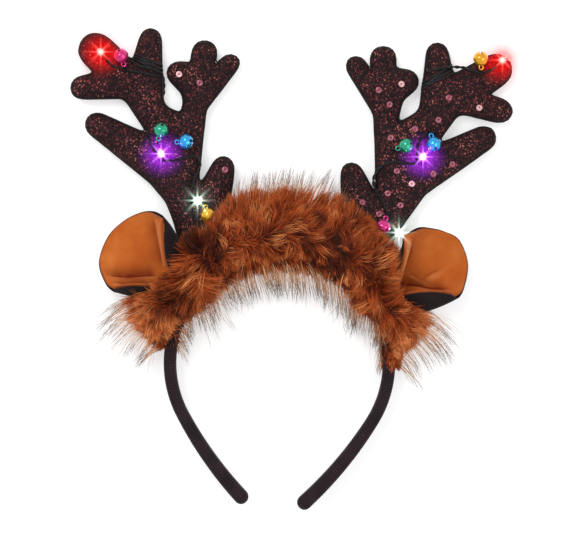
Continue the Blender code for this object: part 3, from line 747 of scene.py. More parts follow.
bulbSolid = bulbBody()
for kind, values in ledKinds.items():
    epoxy = bulbMaterial(kind, values)
    for word, side in sides:
        middle, way = ledPlaces[kind, word]
        mesh = placed(bulbSolid, middle, way)
        points = pointsOf(mesh)
        # the chip shows at the bulb's front and at its end
        spots = (antlerUp * bulbShape["frontSpot"] * mm, way * bulbShape["endSpot"] * mm)
        gaps = [np.linalg.norm(points - np.array(middle + spot), axis=1) for spot in spots]
        setPointValues(mesh, "hot", np.exp(-((np.minimum(*gaps) / (bulbShape["spotAcross"] * mm)) ** 2)))
        addPiece(f"bulb_{kind[4:]}_{word}", mesh, epoxy, [f"{kind}_{word}"])
        lamp = bpy.data.lights.new(f"lamp_{kind}_{word}", "POINT")
        lamp.energy = values["power"]
        lamp.color = values["lamp"]
        lamp.shadow_soft_size = bulbShape["lampSoft"] * mm
        lampObject = bpy.data.objects.new(lamp.name, lamp)
        lampObject.location = middle + antlerUp * bulbShape["lampUp"] * mm
        bpy.context.collection.objects.link(lampObject)
print("bulbs lit")

# Light string: two thin wires twisted together, wound on each antler. Sizes are in mm.
stringShape = {
    "wire": 0.55, "apart": 0.52, "twist": 8.5, "step": 0.9, "lead": 0.3, "tie": 0.2, "fineStep": 0.4,
    # how far the leads' base lies behind a bulb's middle, and a lead's points: back and down into the cloth
    "leadBase": 2.0, "leadApart": 0.8, "leadPath": ((0, 0), (1.2, 0), (2.6, 1.2), (3.6, 2.4)),
    # how far a bell's loop lies from its middle, and a tie's points round that: aside, down and along
    "loopReach": 7.2, "tiesAt": (-0.45, 0.15, 0.6),
    "tiePath": ((0.3, 4.6, 1.0), (0.2, 1.2, 0), (0, -0.7, 0), (-0.3, 1.2, 0), (-0.4, 4.6, 1.0)),
}
# Where the string is wound tight round a tine: X and Y of its middle, the way it lies, and the greatest width
# in
# mm that is still the tine
windings = {
    "left": {"place": (-90.5, 122.0), "across": (0.92, -0.40), "widest": 21},
    "right": {"place": (95.2, 119.0), "across": (0.86, 0.51), "widest": 22},
}
windingTurns = {"turns": 5, "pitch": 1.0, "off": 0.1, "search": 0.4}


def wireMaterial():
    # extruded PVC over stranded copper: black with a dull soft shine
    material, tree, shader = startMaterial(
        "black wire cover", {"Roughness": 0.45, "Specular IOR Level": 0.35}
    )
    place = addNode(tree, "ShaderNodeTexCoord", {}).outputs["Object"]
    dust = addNode(tree, "ShaderNodeTexNoise", {"Scale": 1 / (2.5 * mm), "Detail": 3.0}, {"Vector": place})
    shade = addNode(tree, "ShaderNodeValToRGB", {}, {"Fac": dust.outputs["Fac"]})
    setRamp(shade, [(0.3, "#060607"), (0.75, "#151314")])
    tree.links.new(shade.outputs[0], shader.inputs["Base Color"])
    bump = addNode(
        tree, "ShaderNodeBump", {"Strength": 0.3, "Distance": 0.1 * mm}, {"Height": dust.outputs["Fac"]}
    )
    tree.links.new(bump.outputs[0], shader.inputs["Normal"])
    return material


def stringRoute(node):
    # the middle line of a routed wire, ring by ring from its low end
    bm = mergedCopy(node)
    start = min(bm.verts, key=lambda v: v.co.y)
    front = {v for v in bm.verts if (v.co - start.co).length < 1.25 * mm}
    seen = set(front)
    middles = []
    while front:
        middles.append(sum((v.co for v in front), Vector()) / len(front))
        front = {edge.other_vert(v) for v in front for edge in v.link_edges} - seen
        seen |= front
    bm.free()
    return np.array(middles)


def evenly(points, step):
    # points at even steps along a line, smoothed
    for _ in range(2):
        points[1:-1] = (points[:-2] + 2 * points[1:-1] + points[2:]) / 4
    run = np.concatenate([[0], np.cumsum(np.linalg.norm(np.diff(points, axis=0), axis=1))])
    places = np.arange(0, run[-1], step)
    return np.stack([np.interp(places, run, points[:, axis]) for axis in range(3)], -1)


def twistedPair(points):
    # two lines that wind round each other along the given one
    run = unit(np.gradient(points, axis=0))
    side = np.zeros_like(points)
    side[0] = unit(np.cross(run[0], [0.3, 0.2, 1.0]))
    for index in range(1, len(points)):
        side[index] = unit(side[index - 1] - run[index] * (side[index - 1] @ run[index]))
    other = np.cross(run, side)
    turn = (np.arange(len(points)) * stringShape["step"] / stringShape["twist"] * math.tau)[:, None]
    off = (side * np.cos(turn) + other * np.sin(turn)) * stringShape["apart"] * mm
    return [points + off, points - off]


def sectionLoop(word, point, lean):
    # the loop nearest a point where a plane cuts the antler's cloth
    loops = cutLoops(antlerSkins[word], point, lean)
    return min(loops, key=lambda loop: np.linalg.norm(loop.mean(axis=0)[:2] - point[:2]))


def windingLoops(word):
    # closed loops round a tine, a wire's thickness off its cloth, from where it parts from its neighbour
    values = windings[word]
    place = np.array([*values["place"], 0.0]) * mm
    across = unit(np.array([*values["across"], 0.0]))
    along = np.cross([0, 0, 1], across)
    loops = []
    for turn in range(windingTurns["turns"]):
        lean = unit(along + across * (0.05 * (-1) ** turn - 0.03 * turn))
        loop = sectionLoop(word, place, lean)
        while not turn and np.ptp(loop[:, :2] @ across[:2]) > values["widest"] * mm:
            place = place + along * windingTurns["search"] * mm
            loop = sectionLoop(word, place, lean)
        loop = rounded(loop, 6)
        middle = loop.mean(axis=0)
        loops.append(loop + unit(loop - middle) * (stringShape["wire"] + windingTurns["off"]) * mm)
        place = place + along * windingTurns["pitch"] * mm
    return loops


wireCover = wireMaterial()
for word, side in sides:
    route = evenly(stringRoute("light_wire_" + word), stringShape["step"] * mm)
    pair = tubes("light string " + word, twistedPair(route), stringShape["wire"] * mm)
    addPiece("light_string_" + word, pair, wireCover, ["light_wire_" + word])
    wound = tubes("light winding " + word, windingLoops(word), stringShape["wire"] * mm, closed=True)
    addPiece("light_winding_" + word, wound, wireCover)
    # each bulb's two leads, and the thread that ties each bell's loop to the cloth
    leads, ties = [], []
    for kind in ledKinds:
        middle, way = ledPlaces[kind, word]
        across = way.cross(antlerUp).normalized()
        base = middle - way * stringShape["leadBase"] * mm
        for off in (-stringShape["leadApart"], stringShape["leadApart"]):
            start = base + across * off * mm
            path = [start - way * back * mm - antlerUp * down * mm for back, down in stringShape["leadPath"]]
            leads.append(evenly(np.array(path), stringShape["fineStep"] * mm))
    for kind in bellShades:
        middle, way = nodePlace(f"{kind}_{word}")
        across = way.cross(antlerUp).normalized()
        loop = middle + way * stringShape["loopReach"] * mm
        for off in stringShape["tiesAt"]:
            path = [
                loop + way * off * mm + across * aside * mm - antlerUp * down * mm + way * on * mm
                for aside, down, on in stringShape["tiePath"]
            ]
            ties.append(evenly(np.array(path), stringShape["fineStep"] * mm))
    addPiece(
        "bulb_leads_" + word, tubes("bulb leads", leads, stringShape["lead"] * mm), wireCover
    )
    addPiece("bell_ties_" + word, tubes("bell ties", ties, stringShape["tie"] * mm), wireCover)
print("wires run")

# Ears: two felts each, cupped, with rolled rims. Each fold runs from the root to the ear's edge.
earShape = {
    "reach": 58, "height": 50, "cup": 18, "root": 57, "band": 67.5, "felt": 1.3, "backing": 0.8, "apart": 0.3,
    "columns": 150, "rows": 64, "rootShare": 0.14, "edgeRoll": 0.45, "edgeWidth": 1.8, "nap": 0.12,
}
earFolds = {
    "left": (
        # edge out, up, forward, then pull out, up, forward, as shares of reach, height and cup
        (0.293, 0.98, 0.70, 0.310, 0.26, 1.70),
        (0.336, 1.02, 0.50, 0.060, 0.74, 1.00),
        (0.440, 1.07, 0.17, 0.130, 0.62, 0.11),
        (0.569, 1.05, 0.00, 0.240, 0.52, -0.33),
        (0.741, 0.94, -0.06, 0.328, 0.46, -0.44),
        (0.897, 0.74, 0.00, 0.397, 0.38, -0.44),
        (0.976, 0.43, 0.11, 0.397, 0.26, -0.39),
        (0.897, 0.18, 0.28, 0.362, 0.12, -0.17),
        (0.803, 0.09, 0.44, 0.362, -0.04, 0.33),
        (0.793, 0.11, 0.61, 0.397, 0.24, 1.44),
    ),
    "right": (
        (0.278, 0.86, 0.67, 0.300, 0.26, 1.70),
        (0.345, 0.92, 0.50, 0.210, 0.49, 0.90),
        (0.466, 0.99, 0.17, 0.155, 0.58, 0.11),
        (0.586, 0.99, 0.00, 0.259, 0.50, -0.33),
        (0.724, 0.96, -0.06, 0.362, 0.44, -0.44),
        (0.884, 0.865, 0.00, 0.397, 0.40, -0.44),
        (0.984, 0.58, 0.06, 0.397, 0.28, -0.39),
        (0.945, 0.27, 0.28, 0.397, 0.14, -0.17),
        (0.872, 0.16, 0.44, 0.397, -0.18, 0.22),
        (0.819, 0.19, 0.61, 0.397, 0.28, 1.44),
    ),
}
# Creases pressed into the felt, X and Y in mm, with painted shade in and beside each groove. The lip lies
# beside the line, on its left where it is above 0, and carries a painted highlight whose paleness is given
# per crease.
earCreases = {
    "left": (
        {
            "line": ((-73.5, -2), (-75.4, 9.1), (-77.8, 20.3), (-79.4, 29), (-80, 34)),
            "lip": -4.6, "rise": 0.8, "deep": 1.0, "wide": 0.8, "shade": 0.75, "soft": 4.0, "softShade": 0.5,
            "softDeep": 0.8, "ends": (0.2, 0.45),
        },
        {
            "line": ((-110, -3.6), (-105, -5.9), (-95.7, -6.4), (-85.7, -5.2), (-76, -4.4)),
            "lip": -3.6, "rise": 1.1, "deep": 1.8, "wide": 1.2, "shade": 1.0, "soft": 5.5, "softShade": 0.8,
            "softDeep": 1.3, "ends": (0.35, 0.15), "paintedLipHighlight": 0.15,
        },
        {
            "line": ((-106, -9.5), (-98, -11.2), (-88, -10.6), (-78, -9.0)),
            "lip": -2.6, "rise": 0.6, "deep": 0.8, "wide": 1.0, "shade": 0.8, "soft": 3.0, "softShade": 0.6,
            "softDeep": 0.4, "ends": (0.3, 0.1),
        },
    ),
    "right": (
        {
            "line": ((73.4, -3), (75.4, 8.5), (77.2, 16.5), (78.4, 25)),
            "lip": 4.4, "rise": 1.3, "deep": 1.1, "wide": 0.8, "shade": 0.85, "soft": 3.2, "softShade": 0.55,
            "softDeep": 0.6, "ends": (0.02, 0.2), "paintedLipHighlight": 0.8,
        },
        {
            "line": ((69, -4.2), (77, -4.4), (84, -4.8), (92, -6.4), (99, -7.0), (106, -5.8)),
            "lip": -2.0, "rise": 0.8, "deep": 2.0, "wide": 2.0, "shade": 1.0, "soft": 6.0, "softShade": 0.75,
            "softDeep": 1.2, "ends": (0.02, 0.3),
        },
        {
            "line": ((84.5, -2.6), (88.5, 0.4), (93.5, 3.6), (98.2, 6.4), (104.8, 14)),
            "lip": -4.0, "rise": 0.5, "deep": 0.7, "wide": 0.8, "shade": 0.6, "soft": 4.0, "softShade": 0.36,
            "softDeep": 0.8, "ends": (0.1, 0.6),
        },
        {
            "line": ((75, 2.6), (80, 1.6), (85, -0.8), (90, -3.2), (95, -5.0)),
            "lip": -2.2, "rise": 0.6, "deep": 0.7, "wide": 0.8, "shade": 0.65, "soft": 2.2, "softShade": 0.35,
            "softDeep": 0.4, "ends": (0.3, 0.3),
        },
    ),
}
# hollows by the creases, dented a little and given painted shade: X and Y, width and height in mm, and how
# dark
earPockets = {
    "left": (
        (-94, -5.2, 9, 1.7, 0.95), (-82, -5.0, 6, 1.4, 0.7), (-104, -4.0, 5, 3.0, 0.5),
        (-92, -8.3, 13, 2.6, 0.6),
    ),
    "right": ((74.5, -5.2, 5, 2.0, 1.0), (96, -6.2, 7, 2.0, 0.95), (85, -5.6, 5, 1.3, 0.7)),
}
# painted shade over a whole ear: how much darker each ear's felt is painted than the palest
earPaintedShade = {"left": 0.0, "right": 0.2}


def alongFolds(rows, share):
    place = share * (len(rows) - 1)
    first = min(int(place), len(rows) - 2)
    along = place - first
    p, q = rows[max(first - 1, 0)], rows[first]
    r, s = rows[first + 1], rows[min(first + 2, len(rows) - 1)]
    return 0.5 * (
        2 * q + along * (r - p + along * (2 * p - 5 * q + 4 * r - s + along * (3 * (q - r) + s - p)))
    )


def earSheet(word, side):
    # a grid, bent along the folds
    rows = np.array(earFolds[word])
    lengths = np.array([side * earShape["reach"], earShape["height"], earShape["cup"]] * 2) * mm
    turn = math.radians(earShape["root"])
    root = np.array([side * math.sin(turn), math.cos(turn), 0]) * earShape["band"] * mm + np.array(head)
    bm = bmesh.new()
    bmesh.ops.create_grid(bm, x_segments=earShape["columns"], y_segments=earShape["rows"], size=1)
    for vertex in bm.verts:
        column, row = (vertex.co.x + 1) / 2, (vertex.co.y + 1) / 2
        values = alongFolds(rows, column) * lengths
        along = earShape["rootShare"] + (1 - earShape["rootShare"]) * row
        vertex.co = root + 2 * along * (1 - along) * values[3:] + along * along * values[:3]
    bm.normal_update()
    if sum(face.normal.z * face.calc_area() for face in bm.faces) < 0:
        bmesh.ops.reverse_faces(bm, faces=bm.faces)
        bm.normal_update()
    return bm


def besideLine(points, line):
    # how far each place lies from a line seen from the front, above 0 on its left, and its share along it
    line = np.array(line) * mm
    best = np.full(len(points), 1.0)
    signed = np.full(len(points), 1.0)
    along = np.zeros(len(points))
    for index, (start, end) in enumerate(zip(line, line[1:])):
        run = end - start
        away = points[:, :2] - start
        share = np.clip(away @ run / (run @ run), 0, 1)
        off = away - share[:, None] * run
        gap = np.linalg.norm(off, axis=1)
        cross = run[0] * away[:, 1] - run[1] * away[:, 0]
        nearer = gap < best
        best = np.where(nearer, gap, best)
        signed = np.where(nearer, np.where(cross > 0, gap, -gap), signed)
        along = np.where(nearer, (index + share) / (len(line) - 1), along)
    return signed / mm, along


def pressCreases(points, normals, word):
    # the felt's rise along its normal, how dark it is painted (painted shade in and beside the creases, in
    # the hollows and over one whole ear, and darker along its edge), and how pale it is painted (a painted
    # highlight on the creases' lips), at each place
    rows, columns = earShape["rows"] + 1, earShape["columns"] + 1
    grid = points.reshape(rows, columns, 3)
    step = np.linalg.norm(np.diff(grid, axis=0), axis=2)
    fromRoot = np.concatenate([np.zeros((1, columns)), np.cumsum(step, axis=0)], axis=0)
    edge = ((fromRoot[-1:] - fromRoot) / mm).ravel()
    step = np.linalg.norm(np.diff(grid, axis=1), axis=2)
    fromLip = np.concatenate([np.zeros((rows, 1)), np.cumsum(step, axis=1)], axis=1)
    edge = np.minimum(edge, np.minimum(fromLip, fromLip[:, -1:] - fromLip).ravel() / mm)
    clear = ease(edge, 0.5, 3.5)
    rise = np.zeros(len(points))
    # the whole felt starts with its ear's painted shade
    dark = np.full(len(points), earPaintedShade[word])
    pale = np.zeros(len(points))
    for crease in earCreases[word]:
        beside, along = besideLine(points, crease["line"])
        beside = beside * (1 if crease["lip"] > 0 else -1)
        lip = abs(crease["lip"])
        fade = ease(along, 0, crease["ends"][0] + 0.01) * ease(1 - along, 0, crease["ends"][1] + 0.01) * clear
        groove = np.exp(-((beside / crease["wide"]) ** 2)) * fade
        soft = np.where(beside < 0, np.exp(-((beside / crease["soft"]) ** 2)) * fade, groove)
        onLip = np.where(
            (beside > 0) & (beside < lip * 1.15), np.sin(np.pi * np.clip(beside / lip / 1.15, 0, 1)), 0
        ) * fade
        rise += np.maximum(
            onLip * crease["rise"] - groove * crease["deep"] * 0.5 - soft * crease["softDeep"], -0.9
        )
        # painted shade in and beside the groove, and a painted highlight along the raised lip
        dark = np.maximum(dark, np.maximum(groove * crease["shade"], soft * crease["softShade"]))
        pale = np.maximum(pale, onLip * crease["rise"] * crease.get("paintedLipHighlight", 0.55))
    for x, y, wide, high, shade in earPockets[word]:
        gap = ((points[:, 0] / mm - x) / wide) ** 2 + ((points[:, 1] / mm - y) / high) ** 2
        # painted shade in the hollow
        dark = np.maximum(dark, shade * np.exp(-gap))
        rise -= 0.4 * np.exp(-gap)
    rise = np.maximum(rise, -1.1)
    inward = (edge - earShape["edgeWidth"] * 0.5) / earShape["edgeWidth"]
    rise += np.exp(-(inward ** 2)) * earShape["edgeRoll"]
    # darker within about a millimetre of the felt's edge
    dark = np.maximum(dark, np.exp(-((edge / 0.7) ** 2)) * 0.5)
    fine = softNoise(points, 3 * mm, 52) * earShape["nap"] * 0.4
    rise += softNoise(points, 9 * mm, 51) * earShape["nap"] + fine
    return rise * mm, np.clip(dark - pale * 0.4, 0, 1), pale * (1 - np.clip(dark, 0, 1))


def feltMaterial(name, codes, paintedShadeCode, paleCode):
    # pressed wool and polyester felt: matt, with a short cloudy nap and no shine
    material, tree, shader = startMaterial(
        name, {"Roughness": 0.95, "Sheen Weight": 0.08, "Sheen Roughness": 0.5, "Specular IOR Level": 0.12}
    )
    place = addNode(tree, "ShaderNodeTexCoord", {}).outputs["Object"]
    cloud = addNode(
        tree, "ShaderNodeTexNoise", {"Scale": 1 / (14 * mm), "Detail": 3.0, "Roughness": 0.6},
        {"Vector": place},
    )
    nap = addNode(
        tree, "ShaderNodeTexNoise", {"Scale": 1 / (0.8 * mm), "Detail": 4.0, "Roughness": 0.7},
        {"Vector": place},
    )
    mixed = addNode(
        tree, "ShaderNodeMath", {"operation": "MULTIPLY_ADD", 1: 0.35},
        {0: nap.outputs["Fac"], 2: cloud.outputs["Fac"]},
    )
    shade = addNode(tree, "ShaderNodeValToRGB", {}, {"Fac": mixed.outputs[0]})
    setRamp(shade, [(0.42, codes[0]), (0.68, codes[1]), (0.95, codes[2])])
    # painted highlight along the creases' raised lips, from the "pale" points
    wearAndPaintedHighlight = addNode(tree, "ShaderNodeAttribute", {"attribute_name": "pale"})
    paintedLipHighlight = addNode(
        tree, "ShaderNodeMix", {"data_type": "RGBA", 7: linear(paleCode)},
        {0: wearAndPaintedHighlight.outputs["Fac"], 6: shade.outputs[0]},
    )
    # painted shade in and beside the creases and in the hollows, from the "dark" points
    crease = addNode(tree, "ShaderNodeAttribute", {"attribute_name": "dark"})
    pressed = addNode(
        tree, "ShaderNodeMix", {"data_type": "RGBA", 7: linear(paintedShadeCode)},
        {0: crease.outputs["Fac"], 6: paintedLipHighlight.outputs[2]},
    )
    tree.links.new(pressed.outputs[2], shader.inputs["Base Color"])
    bump = addNode(
        tree, "ShaderNodeBump", {"Strength": 0.5, "Distance": 0.25 * mm}, {"Height": nap.outputs["Fac"]}
    )
    tree.links.new(bump.outputs[0], shader.inputs["Normal"])
    return material


# the last two colours are the painted shade in the creases and the painted highlight on their lips
earFelt = feltMaterial("tan felt", ("#b85a1e", "#c4672a", "#cf7634"), "#6a1d06", "#e09a60")
earBacking = feltMaterial("dark brown felt", ("#140b0e", "#1c1114", "#281a1d"), "#0c0608", "#2a1c1f")
for word, side in sides:
    bm = earSheet(word, side)
    sheet = bpy.data.meshes.new("ear sheet")
    bm.to_mesh(sheet)
    bm.free()
    points = pointsOf(sheet)
    normals = np.array([v.normal for v in sheet.vertices])
    rise, dark, pale = pressCreases(points, normals, word)
    for name, facing, felt, slot in (
        ("front", 1, earFelt, "ear_felt"), ("back", -1, earBacking, "ear_backing")
    ):
        half = sheet.copy()
        half.name = f"ear {name} {word}"
        # the painted shade and highlight, like the creases, are on the front felt alone
        pressed = facing > 0  # the creases are pressed into the front alone
        off = facing * earShape["apart"] * mm + rise * pressed
        movePoints(half, points + normals * off[:, None])
        setPointValues(half, "dark", dark * pressed)
        setPointValues(half, "pale", pale * pressed)
        thick = earShape["felt" if pressed else "backing"] * mm
        made = modified(half, [("SOLIDIFY", {"thickness": thick, "offset": float(facing)})])
        made.shade_smooth()
        addPiece(f"ear_{slot[4:]}_{word}", made, felt, [f"ear_{name}_{word}"])
print("ears cupped")

# Band: cloth wrapped round a spring strip
bandShape = {
    "radius": 67.5, "half": 120, "width": 7.8, "depth": 12, "sides": 24, "bow": 240,
    "legs": {-1: 67, 1: 70}, "endWidth": 9.2, "corner": 0.55, "girth": 34,
}


def bandMesh():
    radius, bow = bandShape["radius"] * mm, bandShape["bow"] * mm
    half = math.radians(bandShape["half"])
    bm = bmesh.new()
    ring = bmesh.ops.create_circle(bm, segments=bandShape["sides"], radius=1)["verts"]
    for vertex in ring:
        x, y = vertex.co.x, vertex.co.y
        vertex.co.x = math.copysign(abs(x) ** bandShape["corner"], x) * bandShape["width"] / 2 * mm
        vertex.co.y = math.copysign(abs(y) ** bandShape["corner"], y) * bandShape["depth"] / 2 * mm
    # stand the ring across the band at its top, then swing it round the crown
    stand = Matrix(((0, 0, 1, 0), (1, 0, 0, radius), (0, 1, 0, 0), (0, 0, 0, 1)))
    bmesh.ops.transform(bm, matrix=Matrix.Rotation(half, 4, "Z") @ stand, verts=ring)
    spun = bmesh.ops.spin(
        bm, geom=bm.verts[:] + bm.edges[:], cent=(0, 0, 0), axis=(0, 0, -1), angle=2 * half, steps=100
    )
    ends = {1: edgesIn(spun["geom_last"])}
    ends[-1] = [e for e in bm.edges if e.is_boundary and e not in ends[1]]
    for side in (-1, 1):
        leg = (bandShape["legs"][side] - bandShape["endWidth"] / 2) * mm
        way = Vector((side * math.sin(half), math.cos(half), 0))
        centre = way * (radius - bow)
        edges = ends[side]
        verts = list({v for e in edges for v in e.verts})
        spun = bmesh.ops.spin(
            bm, geom=verts + edges, cent=centre, axis=(0, 0, -side), angle=leg / bow, steps=22
        )
        rim = edgesIn(spun["geom_last"])
        # the rounded end
        turn = half + leg / bow
        ahead = Vector((side * math.cos(turn), -math.sin(turn), 0))
        done = 0
        middle = None
        for share in (0.3, 0.55, 0.75, 0.9, 0.98):
            grown = bmesh.ops.extrude_edge_only(bm, edges=rim)["geom"]
            verts, rim = vertsIn(grown), edgesIn(grown)
            if middle is None:
                middle = sum((v.co for v in verts), Vector()) / len(verts)
            size = math.sqrt(1 - share * share) / math.sqrt(1 - done * done)
            bmesh.ops.translate(bm, vec=ahead * (share - done) * bandShape["endWidth"] / 2 * mm, verts=verts)
            middle += ahead * (share - done) * bandShape["endWidth"] / 2 * mm
            bmesh.ops.scale(bm, vec=(size, size, size), space=Matrix.Translation(-middle), verts=verts)
            done = share
        bmesh.ops.holes_fill(bm, edges=rim)
    # the legs widen towards their ends
    for vertex in bm.verts:
        travel, off, way, side = bandPlace(vertex.co)
        crown = radius * half
        if travel > crown:
            share = min(1, (travel - crown) / (bandShape["legs"][side] * mm))
            vertex.co += way * off * (bandShape["endWidth"] / bandShape["width"] - 1) * share
    bmesh.ops.translate(bm, vec=head, verts=bm.verts)
    return toMesh(bm, "band")


def bandPlace(place):
    # how far along the band a place is from its top, how far off its middle line, the way out, and its side
    radius, bow = bandShape["radius"] * mm, bandShape["bow"] * mm
    half = math.radians(bandShape["half"])
    side = 1 if place.x >= 0 else -1
    turn = math.atan2(abs(place.x), place.y)
    reach = math.hypot(place.x, place.y)
    if turn <= half:
        way = Vector((side * math.sin(turn), math.cos(turn), 0))
        return turn * radius, reach - radius, way, side
    centre = Vector((side * math.sin(half), math.cos(half), 0)) * (radius - bow)
    run = Vector((place.x, place.y, 0)) - centre
    turn = math.atan2(side * run.x, run.y)
    way = Vector((side * math.sin(turn), math.cos(turn), 0))
    return radius * half + (turn - half) * bow, run.length - bow, way, side


def bandMaterial():
    # plain-woven ribbon glued round the band: dark brown with a low silky sheen.
    # Its threads are 0.3 mm, drawn at 0.9 mm so that they show.
    material, tree, shader = startMaterial(
        "brown woven ribbon",
        {"Roughness": 0.8, "Sheen Weight": 0.06, "Sheen Roughness": 0.4, "Specular IOR Level": 0.2},
    )
    flat = addNode(tree, "ShaderNodeUVMap", {"uv_map": "wrap"}).outputs[0]
    thread = {"Scale": 1 / (0.9 * mm) / 6.2832, "Distortion": 0.6, "Detail": 1.0}
    warp = addNode(tree, "ShaderNodeTexWave", {"bands_direction": "X", **thread}, {"Vector": flat})
    weft = addNode(tree, "ShaderNodeTexWave", {"bands_direction": "Y", **thread}, {"Vector": flat})
    cross = addNode(
        tree, "ShaderNodeMath", {"operation": "MULTIPLY"}, {0: warp.outputs["Fac"], 1: weft.outputs["Fac"]}
    )
    place = addNode(tree, "ShaderNodeTexCoord", {}).outputs["Object"]
    fade = addNode(tree, "ShaderNodeTexNoise", {"Scale": 1 / (11 * mm), "Detail": 3.0}, {"Vector": place})
    wearAndPaintedHighlight = addNode(
        tree, "ShaderNodeMath", {"operation": "MULTIPLY_ADD", 1: 0.5},
        {0: cross.outputs[0], 2: fade.outputs["Fac"]},
    )
    shade = addNode(tree, "ShaderNodeValToRGB", {}, {"Fac": wearAndPaintedHighlight.outputs[0]})
    setRamp(shade, [(0.3, "#130b0e"), (0.6, "#20151a"), (0.95, "#332329")])
    tree.links.new(shade.outputs[0], shader.inputs["Base Color"])
    bump = addNode(
        tree, "ShaderNodeBump", {"Strength": 0.4, "Distance": 0.2 * mm}, {"Height": cross.outputs[0]}
    )
    tree.links.new(bump.outputs[0], shader.inputs["Normal"])
    return material


def wrapUv(mesh):
    # the ribbon's own map in metres: along the band, and round it from behind
    layer = mesh.uv_layers.new(name="wrap")
    girth = bandShape["girth"] * mm
    for polygon in mesh.polygons:
        first = None
        for loop in polygon.loop_indices:
            place = mesh.vertices[mesh.loops[loop].vertex_index].co - head
            travel, off, _, side = bandPlace(place)
            share = (math.atan2(off * 1.5, -place.z) / math.tau) % 1
            if first is None:
                first = share
            elif share - first > 0.5:
                share -= 1
            elif first - share > 0.5:
                share += 1
            layer.data[loop].uv = (side * travel, share * girth)


mesh = bandMesh()
wrapUv(mesh)
addPiece("band_cover", mesh, bandMaterial(), ["headband"])
print("band wrapped")

# Fur: a dark skin under short down, curved wisps and long guard hairs. Lengths are in mm.
furShape = {
    "inner": 10, "outer": 40, "front": 27, "flat": 1.7, "skin": 0.72, "skinEnds": (-76, 88),
    "ends": (-84.5, 89.5),
    # degrees round the crown, lean, then inner, outer and front as shares of the reaches above
    "sections": (
        (-84, 0, 0.58, 0.16, 0.33), (-79, -2, 0.60, 0.34, 0.52), (-73, -6, 0.62, 0.58, 0.76),
        (-67, -12, 0.64, 0.74, 0.90), (-61, -18, 0.66, 0.80, 0.96), (-55, -14, 0.68, 0.46, 0.86),
        (-49, -4, 0.72, 0.42, 0.84), (-42, 0, 0.76, 0.52, 0.88), (-35, 2, 0.80, 0.60, 0.94),
        (-28, 6, 0.88, 0.78, 1.00), (-21, 4, 0.94, 0.90, 1.00), (-14, 2, 0.98, 0.90, 1.00),
        (-7, 0, 1.00, 0.88, 1.00), (0, 0, 1.00, 0.88, 1.00), (7, 0, 1.00, 0.89, 1.00),
        (14, -2, 0.98, 0.94, 1.00), (21, -4, 0.94, 0.98, 1.00), (28, -6, 0.88, 0.96, 1.00),
        (35, -2, 0.80, 0.86, 0.96), (42, 0, 0.76, 0.76, 0.90), (49, 4, 0.72, 0.56, 0.86),
        (55, 14, 0.68, 0.40, 0.84), (61, 20, 0.66, 0.68, 0.92), (67, 16, 0.64, 0.62, 0.90),
        (73, 8, 0.62, 0.46, 0.76), (79, 4, 0.60, 0.22, 0.54), (85, 0, 0.58, 0.15, 0.40),
        (89, 0, 0.58, 0.14, 0.33),
    ),
}
furCoats = {
    # pieces and hairs in each, length from and to, width, segments, where the roots stand, tufts,
    # pull into the tuft, rise off the skin, turn of the tip in degrees, waviness
    "down": {
        "pieces": 1, "hairs": 60000, "long": (4.5, 8.0), "wide": 0.42, "segments": 2, "root": 0.72,
        "tufts": 3000, "pull": 0.4, "rise": 0.75, "turn": 35, "wave": 0.4,
    },
    "wisp": {
        "pieces": 2, "hairs": 27000, "long": (9.0, 15.0), "wide": 0.33, "segments": 4, "root": 0.74,
        "tufts": 900, "pull": 0.88, "rise": 0.5, "turn": 62, "wave": 0.6,
    },
    "lap": {
        "pieces": 1, "hairs": 6000, "long": (10.0, 17.0), "wide": 0.36, "segments": 4, "root": 0.78,
        "tufts": 150, "pull": 0.9, "rise": 0.75, "turn": 60, "wave": 0.8,
    },
    "guard": {
        "pieces": 1, "hairs": 3000, "long": (16.0, 27.0), "wide": 0.32, "segments": 6, "root": 0.8,
        "tufts": 1100, "pull": 0.6, "rise": 0.75, "turn": 12, "wave": 0.9,
    },
}
furColours = {
    "root": "#240a07", "mid": "#9a3810", "tip": "#c86228", "gold": "#ee9a5a", "dark": "#250a08",
    "guardMid": "#d4a27c", "guardTip": "#4e403a",
}
# darker and lighter patches: X and Y in mm, how far they reach, and how much darker
furPatches = (
    (-53, 13.5, 7, 0.8), (-43, 9, 7, 0.9), (-40, 17, 6, 0.6), (-60, -11, 7, 0.8), (-62, -23, 6, 0.7),
    (-68, -17, 7, 0.8), (22, 9, 7, 0.4), (31, 20, 7, 1.3), (38, 13, 5, 1.1), (35, 3, 5, 0.9),
    (40, 32, 5, 0.5), (60, -2, 8, -0.2),
    (20, 31, 5.5, 1.1), (4, 30, 4, 0.4), (60, -18, 6, 0.3), (-48, -1, 6, -0.6),
    (-50, -7, 5, -0.6), (-68, -31, 5, -0.9), (-70, -40, 5, -0.8), (31, 48, 7, -0.6), (-10, 32, 12, -0.25),
    (52, -8, 8, -0.2), (54, -4, 14, -0.25), (-14, 45, 12, -0.2), (-84, -35, 15, -0.85),
    (80, -35, 15, -0.8), (0, 6, 14, -0.2),
)
# the fur's left end lies aslant over the band: none to the right of this line, X and Y in mm
furSlant = ((-62.5, -31.5), (-73.5, -51.0))
# where the fur ends in front of each antler: X and Y in mm
furFronts = {
    "left": ((-76, 14), (-62, 21), (-54, 28), (-45, 33), (-40, 42), (-30, 50)),
    "right": ((30, 52), (39, 48), (46, 41), (53, 35), (59, 28), (68, 20), (78, 14)),
}

# where the fur ends beside each ear: X and Y in mm, from above it round below it
furBesideEars = {
    "left": (
        (-58, 60), (-64.3, 18.5), (-69.9, 13), (-71.9, 6.5), (-72.6, 0), (-78.2, -8.5), (-82, -15),
        (-93, -17.5), (-135, -19),
    ),
    "right": (
        (62, 60), (70.8, 26), (71.6, 19), (72, 9.8), (72, 1.2), (70.5, -7), (74.1, -13), (79, -17.5),
        (86.6, -20.5), (135, -21.5),
    ),
}


def furColumns(at):
    rows = np.array(furShape["sections"], float)
    return [np.interp(at, rows[:, 0], rows[:, column]) for column in range(1, 5)]


